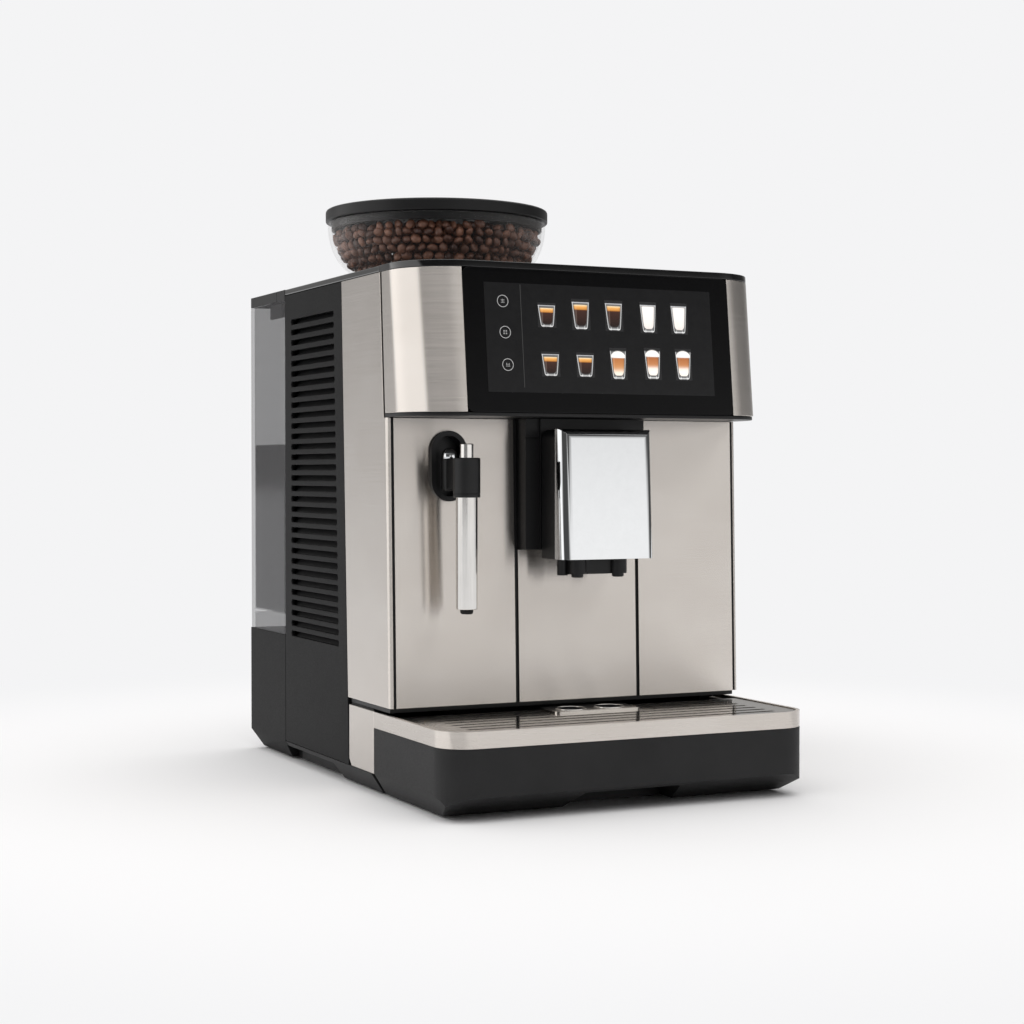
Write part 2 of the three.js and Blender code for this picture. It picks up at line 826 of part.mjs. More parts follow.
// The upright barrel that turns in the recess, and the arm that carries the wand's grip.
function wandPivot() {
  const barrel = turned(
    [
      [0, barrelBottomZ],
      [barrelRadius - 1.5, barrelBottomZ],
      [barrelRadius, barrelBottomZ + 1.5],
      [barrelRadius, barrelTopZ],
      [0, barrelTopZ],
    ],
    24,
  );
  const arm = block([-4.5, -armReach + gripRadius - 3, barrelBottomZ + 2], [5.5, 0, barrelTopZ]);
  const gripAxis = [armShift, -armReach];
  const below = [...gripAxis, barrelBottomZ - 9];
  const above = [...gripAxis, barrelTopZ + 9];
  const clearance = bar(below, above, gripRadius + gap, 24);
  return cut(join(barrel, arm), clearance);
}

// Chrome joint on top of the barrel, where the steam comes in.
function steamJoint() {
  const base = barrelTopZ + gap;
  const ball = 6.4;
  const profile = Array.from({ length: 8 }, (_, i) => {
    const angle = (Math.PI / 2) * (i / 7);
    return [i === 7 ? 0 : ball * Math.cos(angle), base + 2.5 + ball * Math.sin(angle)];
  });
  return turned([[0, base], [ball, base], ...profile], 20);
}

const gripTopZ = barrelTopZ + 1;
const gripBottomZ = gripTopZ - gripHeight;
const tubeBottomZ = gripBottomZ - tubeLength;

function wandGrip() {
  const bore = 4.6 + gap;
  return turned(
    [
      [bore, gripBottomZ],
      [gripRadius - 0.8, gripBottomZ],
      [gripRadius, gripBottomZ + 0.8],
      [gripRadius, gripTopZ - 0.8],
      [gripRadius - 0.8, gripTopZ],
      [bore, gripTopZ],
    ],
    24,
  );
}

// The steel tube below the grip, its thin core through the grip, and the stub on top of it.
function wandTube() {
  const low = gripBottomZ - gap;
  const high = gripTopZ + gap;
  return turned(
    [
      [2, tubeBottomZ],
      [tubeRadius - 0.6, tubeBottomZ],
      [tubeRadius, tubeBottomZ + 0.6],
      [tubeRadius, low],
      [4.6, low],
      [4.6, high],
      [stubRadius, high],
      [stubRadius, high + stubHeight - 0.7],
      [stubRadius - 0.7, high + stubHeight],
      [2, high + stubHeight],
    ],
    20,
  );
}

function wandTip() {
  const top = tubeBottomZ - gap;
  return turned(
    [
      [1, top - tipHeight],
      [tipRadius - 1, top - tipHeight],
      [tipRadius, top - tipHeight + 1.2],
      [tipRadius, top],
      [1, top],
    ],
    16,
  );
}

// ---- Drip tray drawer ----

const trimBottom = trayTop - trimHeight;
const trayBottom = plinthBottom + gap;
const trayRearY = panelFootY + trayRear - gap;

// The tray's body drawn in by inset: rounded in plan, chamfered under its front and sides.
function trayForm(inset, bottom, top) {
  const half = halfWidth - inset;
  const front = frontY + inset;
  const rear = trayRearY - inset;
  const plan = [
    [-half, rear],
    [-half, front, trayCorner - inset],
    [half, front, trayCorner - inset],
    [half, rear],
  ];
  const section = [
    [-half + plinthInset, trayBottom],
    [half - plinthInset, trayBottom],
    [half, plinthTop + 1],
    [half, top],
    [-half, top],
    [-half, plinthTop + 1],
  ];
  const profile = [
    [front + trayFrontChamfer, trayBottom],
    [rear, trayBottom],
    [rear, top],
    [front, top],
    [front, plinthTop + 1],
  ];
  return common(
    prism("z", plan, bottom, top, { steps: 8 }),
    prism("y", section, frontY - 5, backY),
    prism("x", profile, -halfWidth - 5, halfWidth + 5),
  );
}

function dripTray() {
  const top = trimBottom - gap;
  const reach = binHalf + 2 * wall + gap;
  const rear = panelFootY + binRear + wall + 2 * gap;
  const tail = block([-reach, trayRearY - 20, trayFloor + gap], [reach, rear, top - 12]);
  const basin = trayForm(wall + 1, trayFloor + wall, top + 5);
  const bay = block(
    [-reach + wall, trayRearY - 40, trayFloor + wall],
    [reach - wall, rear - wall, top + 5],
  );
  const notchBlock = block(
    [-notchHalf - 8, frontY, trayBottom],
    [notchHalf + 8, frontY + notchDepth + wall, notchHeight + wall],
  );
  const notch = prism(
    "y",
    [
      [-notchHalf - 1, 0],
      [notchHalf + 1, 0],
      [notchHalf - notchSlope, notchHeight, 3],
      [-notchHalf + notchSlope, notchHeight, 3],
    ],
    frontY - 5,
    frontY + notchDepth,
  );
  const shell = cut(join(trayForm(0, trayBottom, top), tail), basin, bay);
  return cut(join(shell, common(notchBlock, trayForm(0, trayBottom, top))), notch);
}

// Steel band round the tray's rim, open at the rear, with a ledge for the grate.
function trayTrim() {
  const plan = (inset, rear) => [
    [-halfWidth + inset, rear],
    [-halfWidth + inset, frontY + inset, trayCorner - inset],
    [halfWidth - inset, frontY + inset, trayCorner - inset],
    [halfWidth - inset, rear],
  ];
  const options = { steps: 8 };
  const band = cut(
    prism("z", plan(0, trayRearY), trimBottom, trayTop, options),
    prism("z", plan(wall, trayRearY + 5), trimBottom - 5, trayTop + 5, options),
  );
  const ledgeTop = trayTop - 0.7 - grateThickness - gap;
  const ledge = cut(
    prism("z", plan(wall - 1, trayRearY), ledgeTop - wall, ledgeTop, options),
    prism("z", plan(wall + trimLedge, trayRearY + 5), trimBottom - 5, trayTop + 5, options),
  );
  return join(band, ledge);
}

const grateTop = trayTop - 0.7;
const drainY = panelFootY - drainFromPanel;
const drains = [columnX - drainSpacing / 2, columnX + drainSpacing / 2];

function dripGrate() {
  const half = halfWidth - wall - gap;
  const front = frontY + wall + gap;
  const rear = panelFootY - 3;
  const corner = trayCorner - wall - gap;
  const plan = [
    [-half, rear],
    [-half, front, corner],
    [half, front, corner],
    [half, rear],
  ];
  const bottom = grateTop - grateThickness;
  const plate = prism("z", plan, bottom, grateTop, { steps: 6 });
  const plateauFront = panelFootY - 37;
  const slots = Array.from({ length: grateSlots }, (_, i) => {
    const y = frontY + grateFrontMargin + i * grateSlotPitch;
    const low = y - grateSlotWidth / 2;
    const high = y + grateSlotWidth / 2;
    const end = grateSlotWidth / 2 - 0.01;
    const spans =
      high > plateauFront
        ? [
            [-grateSlotHalf, columnX - plateauHalf - 6],
            [columnX + plateauHalf + 6, grateSlotHalf],
          ]
        : [[-grateSlotHalf, grateSlotHalf]];
    return spans.map(([x0, x1]) =>
      prism("z", rectangle(x0, low, x1, high, end), bottom - 1, grateTop + 1, { steps: 3 }),
    );
  }).flat();
  const plateau = prism(
    "z",
    rectangle(columnX - plateauHalf, plateauFront, columnX + plateauHalf, rear, 5),
    grateTop - 0.5,
    grateTop + plateauHeight,
  );
  const holes = drains.map((x) => bar([x, drainY, bottom - 1], [x, drainY, grateTop + 9], drainRadius, 24));
  return cut(join(plate, plateau), ...slots, ...holes);
}

// The float under the right-hand drain hole, which rises when the tray is full.
function trayFloat() {
  const low = trayFloor + wall + gap;
  return turned(
    [
      [0, low],
      [floatRadius, low],
      [floatRadius, low + 30],
      [4, low + 38],
      [4, grateTop - 9],
      [0, grateTop - 8],
    ],
    20,
    [drains[1], drainY],
  );
}

function groundsBin() {
  const low = trayFloor + wall + gap;
  const front = panelFootY + 3;
  const rear = panelFootY + binRear;
  const outer = prism("z", rectangle(-binHalf, front, binHalf, rear, 8), low, low + binHeight);
  const inner = prism(
    "z",
    rectangle(-binHalf + 2, front + 2, binHalf - 2, rear - 2, 6),
    low + 2,
    low + binHeight + 5,
  );
  return cut(outer, inner);
}

// ---- Rear base, service housing and water tank ----

const tankRight = -halfWidth + tankWidth;
const tankTop = casingHeight - tankLidHeight - gap;

function rearBase() {
  const profile = [
    [tankFrontY, plinthBottom],
    [backY - 6.5, plinthBottom],
    [backY, plinthTop],
    [backY, rearBaseTop],
    [tankFrontY, rearBaseTop],
  ];
  const body = common(
    prism("y", plinthSection(rearBaseTop), tankFrontY, backY),
    prism("x", profile, -halfWidth - 5, halfWidth + 5),
  );
  const room = block(
    [-halfWidth + 7, tankFrontY - 1, plinthTop + 1],
    [halfWidth - 7, backY - 8.5, rearBaseTop - 7],
  );
  const inletWindow = block([inletX - 15, backY - 12, inletZ - 12], [inletX + 15, backY + 1, inletZ + 12]);
  const rockerWindow = block([rockerX - 8, backY - 12, inletZ - 12], [rockerX + 8, backY + 1, inletZ + 12]);
  const recesses = footPlaces.filter(([, , y]) => y > 0).map(([, side, y]) => footRecess(side, y));
  const notches = sides.map(([, side]) => handhold(side));
  const wellBottom = [valveX, valveY, rearBaseTop - 9];
  const wellTop = [valveX, valveY, rearBaseTop + 1];
  const valveWell = bar(wellBottom, wellTop, valveStem + wellClearance);
  return cut(body, room, inletWindow, rockerWindow, valveWell, ...recesses, ...notches);
}

// Mains inlet: a socket with three blades in it.
function powerInlet() {
  const half = 14.5;
  const body = block([inletX - half, backY - 26, inletZ - 11.5], [inletX + half, backY - 0.6, inletZ + 11.5]);
  const mouth = [
    [inletX - 12, inletZ - 8.5],
    [inletX + 12, inletZ - 8.5],
    [inletX + 12, inletZ + 4],
    [inletX + 7, inletZ + 8.5],
    [inletX - 7, inletZ + 8.5],
    [inletX - 12, inletZ + 4],
  ];
  const hollow = prism("y", mouth, backY - 20, backY + 1);
  const blades = [
    [-7, -2.5],
    [0, 2.5],
    [7, -2.5],
  ].map(([x, z]) =>
    block([inletX + x - 1, backY - 22, inletZ + z - 2], [inletX + x + 1, backY - 10, inletZ + z + 2]),
  );
  return join(cut(body, hollow), ...blades);
}

// Rocker switch: a shallow V that tips about a cross axis behind its middle.
function powerRocker() {
  const profile = [
    [-9, -10],
    [0, -10],
    [-1.6, 0],
    [0, 10],
    [-9, 10],
    [-11, 0],
  ];
  return prism("x", profile, -7, 7);
}

function serviceHousing() {
  const left = tankRight + gap;
  const body = prism(
    "z",
    [
      [left, tankFrontY],
      [halfWidth, tankFrontY],
      [halfWidth, backY, tankCorner],
      [left, backY],
    ],
    rearBaseTop + gap,
    casingHeight,
  );
  const room = block(
    [left + wall, tankFrontY - 1, rearBaseTop + gap + wall],
    [halfWidth - wall, backY - wall, casingHeight - wall],
  );
  const vents = Array.from({ length: 12 }, (_, i) => {
    const z = casingHeight - 60 - i * 9;
    return block([left + 25, backY - wall - 1, z], [halfWidth - 20, backY + 1, z + 4]);
  });
  return cut(body, room, ...vents);
}

const valveX = tankRight - 40;
const valveY = (tankFrontY + backY) / 2;

// Plan of the water tank, drawn in by an inset on every side.
function tankPlan(inset, from = tankFrontY) {
  const [left, front] = [-halfWidth + inset, from + inset];
  return rectangle(left, front, tankRight - inset, backY - inset, tankCorner - inset / 2);
}

function waterTank() {
  const bottom = rearBaseTop + gap;
  const body = prism("z", tankPlan(0), bottom, tankTop);
  const inside = prism("z", tankPlan(wall), bottom + tankFloor, tankTop + 5);
  const under = prism("z", tankPlan(wall), bottom - 5, bottom + tankFloor - wall);
  const hole = bar([valveX, valveY, bottom - 1], [valveX, valveY, bottom + tankFloor + 1], valveStem + gap);
  return join(cut(body, inside, under, hole), tankTopBridge());
}

// The closed front of the tank's top, standing on its walls.
function tankTopBridge() {
  const rear = tankFrontY + tankBridge;
  const upTo = (y) => block([-halfWidth - 1, tankFrontY - 1, tankTop - 5], [halfWidth, y, casingHeight]);
  const form = common(prism("z", tankPlan(0), tankTop - wall, casingHeight), upTo(rear));
  const mouth = prism("z", tankPlan(wall), tankTop - 5, tankTop);
  const hollow = common(prism("z", tankPlan(wall), tankTop - 5, casingHeight - wall), upTo(rear - wall));
  return cut(form, mouth, hollow);
}

function tankValve() {
  const floor = rearBaseTop + gap + tankFloor;
  const stem = bar([valveX, valveY, rearBaseTop - 5], [valveX, valveY, floor + 1], valveStem);
  const head = bar([valveX, valveY, floor + gap], [valveX, valveY, floor + 7], valveRadius);
  return join(stem, head);
}

function tankLid() {
  const bottom = tankTop + gap;
  const front = tankFrontY + tankBridge + gap;
  return cut(
    prism("z", tankPlan(0, front), bottom, casingHeight),
    prism("z", tankPlan(wall + 1, front), bottom - 1, casingHeight - wall),
  );
}

// ---- Hopper ----

// The bowl's flank is an ellipse: radius from the height above the casing.
const bowlAt = (h) => bowlRadius * Math.sqrt(1 - ((bowlEquator - h) / bowlDepth) ** 2);

function bowlFlank(inset, low) {
  const steps = 6;
  return Array.from({ length: steps + 1 }, (_, i) => {
    const h = low + ((bowlEquator - low) * i) / steps;
    return [bowlAt(h) - inset, casingHeight + h];
  });
}

function hopperBowl() {
  const rim = casingHeight + bowlRim;
  const outer = bowlFlank(0, bowlSeat);
  const inner = bowlFlank(wall, bowlSeat + wall + 1).reverse();
  const bottom = casingHeight - neckDepth;
  const seat = casingHeight + bowlSeat;
  return turned(
    [
      [throatRadius, bottom],
      [neckRadius, bottom],
      [neckRadius, seat],
      ...outer,
      [bowlRadius, rim],
      [bowlRadius - wall, rim],
      ...inner,
      [throatRadius, casingHeight - 1],
    ],
    40,
  );
}

function hopperLid() {
  const base = casingHeight + bowlRim + gap;
  const top = base + hopperLidHeight;
  const skirtOuter = bowlRadius - wall - gap;
  return turned(
    [
      [0, top - 4],
      [skirtOuter - 2.5, top - 4],
      [skirtOuter - 2.5, base - hopperLidSkirt],
      [skirtOuter, base - hopperLidSkirt],
      [skirtOuter, base],
      [hopperLidRadius, base],
      [hopperLidRadius, top - 3],
      [hopperLidRadius - 3, top],
      [0, top],
    ],
    40,
  );
}

// ---- Grinder ----

const grinderTop = casingHeight - neckDepth - gap;
const grinderBottom = grinderTop - grinderHeight;

function grinderHousing() {
  return turned(
    [
      [shaftRadius + 0.4, grinderBottom],
      [grinderRadius, grinderBottom],
      [grinderRadius, grinderTop],
      [throatRadius, grinderTop],
      [throatRadius, grinderTop - 12],
      [burrRadius + gap, grinderTop - 12],
      [burrRadius + gap, grinderBottom + 14],
      [shaftRadius + 0.4, grinderBottom + 14],
    ],
    32,
  );
}

function upperBurr() {
  const top = grinderTop - 12 - gap;
  return turned(
    [
      [burrRadius, top - 34],
      [burrRadius, top],
      [22, top],
      [31.5, top - 34],
    ],
    24,
  );
}

// The cone burr and its shaft, which reaches down into the motor.
function lowerBurr() {
  const low = grinderBottom + 14 + gap;
  return turned(
    [
      [0, grinderBottom - 10],
      [shaftRadius, grinderBottom - 10],
      [shaftRadius, low],
      [29, low],
      [29, low + 8],
      [16, low + 44],
      [0, low + 46],
    ],
    24,
  );
}

function grinderMotor() {
  const top = grinderBottom - gap;
  return turned(
    [
      [0, top - motorHeight],
      [motorRadius - 6, top - motorHeight],
      [motorRadius, top - motorHeight + 8],
      [motorRadius, top],
      [shaftRadius + 0.4, top],
      [shaftRadius + 0.4, top - 12],
      [0, top - 12],
    ],
    24,
  );
}

const brewTop = deckTop + gap + 8 + brewHeight;
const brewY = panelFootY + 20 + brewDepth / 2;

// The chute that drops ground coffee from the front of the grinder to the top of the brew group.
function groundsChute() {
  const radius = 11;
  const mouth = [hopperX + 12, hopperY - grinderRadius - radius - 1];
  const turn = grinderBottom - radius - 3;
  const route = [
    [...mouth, grinderBottom + 30],
    [...mouth, turn],
    [columnX + 4, brewY + 14, brewTop + radius + 3],
    [columnX + 4, brewY + 14, brewTop + gap],
  ];
  const runs = route.slice(1).map((end, i) => bar(route[i], end, radius, 12));
  const elbow = (place) => solid(new THREE.SphereGeometry(radius, 12, 6).translate(...place));
  const elbows = route.slice(1, -1).map(elbow);
  return join(...runs, ...elbows);
}

// ---- Brew group, boilers, pump and power supply ----

function brewGroup() {
  const low = deckTop + gap + 8;
  const rear = brewY + brewDepth / 2;
  const body = prism(
    "z",
    rectangle(columnX - brewHalf, brewY - brewDepth / 2, columnX + brewHalf, rear, 8),
    low,
    brewTop,
  );
  const bore = bar([columnX, brewY, low - 1], [columnX, brewY, brewTop - 20], brewBore + 0.4, 28);
  const legs = [-1, 1].map((side) => {
    const x = columnX + side * (brewHalf - 4);
    return block([x - 3, rear - 20, deckTop + gap], [x + 3, rear - 4, low + 1]);
  });
  return cut(join(body, ...legs), bore);
}

function brewPiston() {
  const low = deckTop + gap + 16;
  return turned(
    [
      [0, low],
      [9, low],
      [9, low + 50],
      [brewBore, low + 50],
      [brewBore, low + 66],
      [0, low + 66],
    ],
    28,
    [columnX, brewY],
  );
}

// An upright boiler with domed ends and a flange round its waist.
function boiler(low) {
  const high = low + boilerHeight;
  return turned(
    [
      [0, low],
      [boilerRadius - 12, low],
      [boilerRadius, low + 10],
      [boilerRadius, low + boilerHeight / 2 - 3],
      [boilerRadius + 5, low + boilerHeight / 2 - 3],
      [boilerRadius + 5, low + boilerHeight / 2 + 3],
      [boilerRadius, low + boilerHeight / 2 + 3],
      [boilerRadius, high - 10],
      [boilerRadius - 12, high],
      [0, high],
    ],
    18,
  );
}

function waterPump() {
  const y0 = -pumpLength / 2;
  return join(
    bar([0, y0, 0], [0, y0 + 22, 0], 11),
    block([-pumpRadius, y0 + 20, -pumpRadius], [pumpRadius, y0 + 62, pumpRadius]),
    bar([0, y0 + 60, 0], [0, pumpLength / 2, 0], 9),
  );
}

function powerSupply() {
  const body = block([-16, -45, 0], [16, 45, supplyHeight]);
  const ribs = Array.from({ length: 8 }, (_, i) =>
    block([-22, -40 + i * 11, 6], [-15, -37 + i * 11, supplyHeight - 6]),
  );
  return join(body, ...ribs);
}

// ---- Assembly ----

function at(group, x, y, z) {
  group.position.set(x, y, z);
  return group;
}

const frame = new THREE.Group();
frame.add(
  piece("chassis_base", chassisBase(), blackPlastic),
  piece("deck_plate", deckPlate(), galvanised),
  piece("rear_bulkhead", rearBulkhead(), blackPlastic),
  piece("rear_base", rearBase(), blackPlastic),
  piece("service_housing", serviceHousing(), blackPlastic),
  piece("left_front_panel", leftFrontPanel(), brushedSteel),
  piece("right_front_panel", frontPanel(1, columnX + columnHalf), brushedSteel),
  piece("center_front_panel", centreFrontPanel(), brushedSteel),
  piece("head_shell", headShell(), blackPlastic),
  piece("screen_glass", screenGlass(), screenBlack),
  piece("display_panel", displayPanel(), screenBlack),
  piece("control_board", controlBoard(), boardGreen),
  piece("head_plate", headPlate(), blackPlastic),
  piece("head_lid", headLid(), glossBlack),
  piece("top_cover", topCover(), glossBlack),
  piece("spout_housing", spoutHousing(), blackPlastic),
  piece("wand_escutcheon", escutcheon(), blackPlastic),
  piece("power_inlet", powerInlet(), blackPlastic),
);
sides.forEach(([name, side]) => {
  frame.add(
    piece(`${name}_side_panel`, sidePanel(side), blackPlastic),
    piece(`${name}_lower_trim`, lowerTrim(side), brushedSteel),
    piece(`${name}_head_corner`, headCornerPiece(side), brushedSteel),
  );
});
footPlaces.forEach(([name, side, y]) => {
  frame.add(at(piece(`foot_${name}`, foot(), rubber), side * footX, y, 0));
});

const brewing = new THREE.Group();
const boilerX = halfWidth - sideWall - boilerRadius - 12;
const boilerY = panelFootY + 114;
const lowBoilerZ = deckTop + gap;
const highBoilerZ = lowBoilerZ + boilerHeight + 14;
brewing.add(
  piece("brew_group", brewGroup(), greyPlastic),
  piece("brew_piston", brewPiston(), galvanised),
  piece("grounds_chute", groundsChute(), greyPlastic),
  at(piece("coffee_boiler", boiler(0), brass), boilerX, boilerY, lowBoilerZ),
  at(piece("steam_boiler", boiler(0), galvanised), boilerX, boilerY, highBoilerZ),
  at(piece("water_pump", waterPump(), brass), -halfWidth + 42, panelFootY + 90, deckTop + pumpRadius + gap),
  at(piece("power_supply", powerSupply(), greyPlastic), -halfWidth + 36, panelFootY + 90, deckTop + 70),
);

const grinder = new THREE.Group();
grinder.add(
  piece("grinder_housing", grinderHousing(), greyPlastic),
  piece("upper_burr", upperBurr(), galvanised),
  piece("lower_burr", lowerBurr(), galvanised),
  piece("grinder_motor", grinderMotor(), galvanised),
);
at(grinder, hopperX, hopperY, 0);

const hopper = new THREE.Group();
hopper.add(
  piece("hopper_bowl", hopperBowl(), clearPlastic),
  piece("hopper_lid", hopperLid(), blackPlastic),
);
at(hopper, hopperX, hopperY, 0);

const tank = new THREE.Group();
tank.add(
  piece("water_tank", waterTank(), smokedPlastic),
  piece("tank_valve", tankValve(), blackPlastic),
  piece("tank_lid", tankLid(), blackPlastic),
);

const tray = new THREE.Group();
tray.add(
  piece("drip_tray", dripTray(), blackPlastic),
  piece("tray_trim", trayTrim(), brushedSteel),
  piece("drip_grate", dripGrate(), polishedSteel),
  piece("tray_float", trayFloat(), greyPlastic),
  piece("grounds_bin", groundsBin(), blackPlastic),
);

const spout = new THREE.Group();
spout.add(
  piece("spout_carriage", spoutCarriage(), blackPlastic),
  piece("spout_body", spoutBody(), blackPlastic),
  piece("spout_cover", spoutCover(), chrome),
  piece("coffee_outlet", coffeeOutlet(), blackPlastic),
  piece("milk_outlet", milkOutlet(), blackPlastic),
);
at(spout, columnX, 0, 0);

const wandArm = new THREE.Group();
wandArm.add(
  piece("wand_pivot", wandPivot(), blackPlastic),
  piece("steam_joint", steamJoint(), chrome),
);
at(wandArm, wandX - armShift, barrelY, 0);
const wand = new THREE.Group();
wand.add(
  piece("wand_grip", wandGrip(), blackPlastic),
  piece("wand_tube", wandTube(), polishedSteel),
  piece("wand_tip", wandTip(), rubber),
);
at(wand, armShift, -armReach, 0);
wandArm.add(wand);

const rocker = at(piece("power_rocker", powerRocker(), blackPlastic), rockerX, backY - 2.2, inletZ);
rocker.rotation.x = THREE.MathUtils.degToRad(8);

machine.add(frame, brewing, grinder, hopper, tank, tray, spout, wandArm, rocker);

export default machine;
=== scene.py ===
import math

import bmesh
import bpy
import numpy as np
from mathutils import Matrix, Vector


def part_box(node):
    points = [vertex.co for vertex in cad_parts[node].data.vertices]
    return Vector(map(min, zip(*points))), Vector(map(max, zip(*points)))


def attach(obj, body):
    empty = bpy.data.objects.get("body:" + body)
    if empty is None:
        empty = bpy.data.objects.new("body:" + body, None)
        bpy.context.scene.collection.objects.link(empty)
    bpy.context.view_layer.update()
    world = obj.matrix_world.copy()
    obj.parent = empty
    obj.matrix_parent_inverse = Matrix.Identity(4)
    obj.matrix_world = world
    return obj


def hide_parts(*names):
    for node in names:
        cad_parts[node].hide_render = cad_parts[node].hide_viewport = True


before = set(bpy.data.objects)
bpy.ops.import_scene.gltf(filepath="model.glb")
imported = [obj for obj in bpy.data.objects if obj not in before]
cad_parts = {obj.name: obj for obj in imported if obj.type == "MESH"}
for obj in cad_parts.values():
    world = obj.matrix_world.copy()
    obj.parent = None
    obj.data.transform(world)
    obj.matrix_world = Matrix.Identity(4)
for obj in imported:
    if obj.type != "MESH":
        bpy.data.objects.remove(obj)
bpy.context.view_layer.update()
print("frame loaded:", len(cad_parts), "CAD nodes")

mm = 0.001
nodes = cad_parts


def boxOf(name):
    # lowest and highest corner of a CAD node in millimetres
    low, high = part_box(name)
    return np.array(low) / mm, np.array(high) / mm


def colour(hexText, alpha=1.0):
    # sRGB hex to linear: each channel over 12.92 when dark, else ((c + 0.055) / 1.055) to the power 2.4
    parts = [int(hexText[i:i + 2], 16) / 255 for i in (1, 3, 5)]
    linear = [c / 12.92 if c <= 0.04045 else ((c + 0.055) / 1.055) ** 2.4 for c in parts]
    return (*linear, alpha)


def addNode(tree, kind, inputs=None, **settings):
    # one node, its own settings, and its inputs as values or links
    made = tree.nodes.new(kind)
    for name, value in settings.items():
        setattr(made, name, value)
    for key, value in (inputs or {}).items():
        socket = made.inputs[key]
        if isinstance(value, bpy.types.NodeSocket):
            tree.links.new(value, socket)
        else:
            socket.default_value = value
    return made


def newMaterial(name, **values):
    # an empty tree with one shader; the constant values stand on the shader's own sockets
    made = bpy.data.materials.new(name)
    made.use_nodes = True
    tree = made.node_tree
    tree.nodes.clear()
    shader = addNode(tree, "ShaderNodeBsdfPrincipled", values)
    addNode(tree, "ShaderNodeOutputMaterial", {"Surface": shader.outputs[0]})
    place = addNode(tree, "ShaderNodeTexCoord").outputs["Object"]
    return made, tree, shader, place


def grain(tree, place, size, detail=3.0, rough=0.55):
    # noise whose spots are size millimetres along X, Y and Z
    scale = [1 / (s * mm) for s in size]
    stretched = addNode(tree, "ShaderNodeMapping", {"Vector": place, "Scale": scale})
    noise = addNode(tree, "ShaderNodeTexNoise", {
        "Vector": stretched.outputs[0], "Scale": 1.0, "Detail": detail, "Roughness": rough})
    return noise.outputs[0]


def blend(tree, fac, low, high, spread=(0.3, 0.7)):
    # a colour ramp between two hex colours, over that spread of the pattern
    ramp = addNode(tree, "ShaderNodeValToRGB", {"Fac": fac})
    ramp.color_ramp.elements[0].position, ramp.color_ramp.elements[1].position = spread
    ramp.color_ramp.elements[0].color = colour(low)
    ramp.color_ramp.elements[1].color = colour(high)
    return ramp.outputs[0]


def between(tree, fac, low, high):
    # the pattern's middle range turned into values from low to high
    return addNode(tree, "ShaderNodeMapRange", {
        "Value": fac, "From Min": 0.3, "From Max": 0.7, "To Min": low, "To Max": high}).outputs[0]


def bump(tree, height, strength, distance):
    return addNode(tree, "ShaderNodeBump", {
        "Height": height, "Strength": strength, "Distance": distance * mm}).outputs[0]


# Brushed stainless steel: fine lines along the sheet, so that reflections smear across them.
# The real lines are about 0.1 mm thick; they are drawn about 0.5 mm thick, so that they show.
def brushedSteel(name, low, high, rough, size, anisotropic, lineBump):
    made, tree, shader, place = newMaterial(name, Metallic=1.0, Anisotropic=anisotropic)
    lines = grain(tree, place, size, 4.0, 0.65)
    clouds = grain(tree, place, (90, 90, 60), 2.0)
    mixed = addNode(tree, "ShaderNodeMath", {0: lines, 1: clouds}, operation="ADD").outputs[0]
    half = addNode(tree, "ShaderNodeMath", {0: mixed, 1: 0.5}, operation="MULTIPLY").outputs[0]
    tree.links.new(blend(tree, half, low, high), shader.inputs["Base Color"])
    tree.links.new(between(tree, lines, *rough), shader.inputs["Roughness"])
    tree.links.new(bump(tree, lines, lineBump, 0.05), shader.inputs["Normal"])
    across = addNode(tree, "ShaderNodeCombineXYZ", {"X": 0.0, "Y": 0.02, "Z": 1.0}).outputs[0]
    tree.links.new(across, shader.inputs["Tangent"])
    return made


# Moulded ABS with a fine spark-eroded texture: dark, dry and even, with a soft sheen on its edges.
def texturedPlastic(name, low, high, rough, grit=0.9, strength=0.25, specular=0.3):
    made, tree, shader, place = newMaterial(name, **{"Specular IOR Level": specular})
    fine = grain(tree, place, (grit, grit, grit), 2.0)
    broad = grain(tree, place, (45, 45, 45), 3.0)
    tree.links.new(blend(tree, broad, low, high), shader.inputs["Base Color"])
    tree.links.new(between(tree, fine, *rough), shader.inputs["Roughness"])
    tree.links.new(bump(tree, fine, strength, 0.08), shader.inputs["Normal"])
    return made


# Polished or lacquered surfaces: a clean gloss with faint handling marks and a very slight waviness.
def glossSurface(name, low, high, rough, metallic=0.0, wave=0.03, **values):
    made, tree, shader, place = newMaterial(name, Metallic=metallic, **values)
    marks = grain(tree, place, (7, 7, 7), 5.0, 0.7)
    waves = grain(tree, place, (25, 25, 25), 1.0)
    tree.links.new(blend(tree, marks, low, high), shader.inputs["Base Color"])
    tree.links.new(between(tree, marks, *rough), shader.inputs["Roughness"])
    tree.links.new(bump(tree, waves, wave, 0.3), shader.inputs["Normal"])
    return made


# Zinc-plated sheet: pale spangles of 6 to 10 mm with different greys.
def galvanisedSteel(name):
    made, tree, shader, place = newMaterial(name, Metallic=1.0)
    spangle = addNode(tree, "ShaderNodeTexVoronoi", {"Vector": place, "Scale": 1 / (8 * mm)})
    tone = addNode(tree, "ShaderNodeSeparateColor", {"Color": spangle.outputs["Color"]}).outputs[0]
    tree.links.new(blend(tree, tone, "#8d9194", "#b7babc", (0.0, 1.0)), shader.inputs["Base Color"])
    tree.links.new(between(tree, tone, 0.32, 0.5), shader.inputs["Roughness"])
    return made


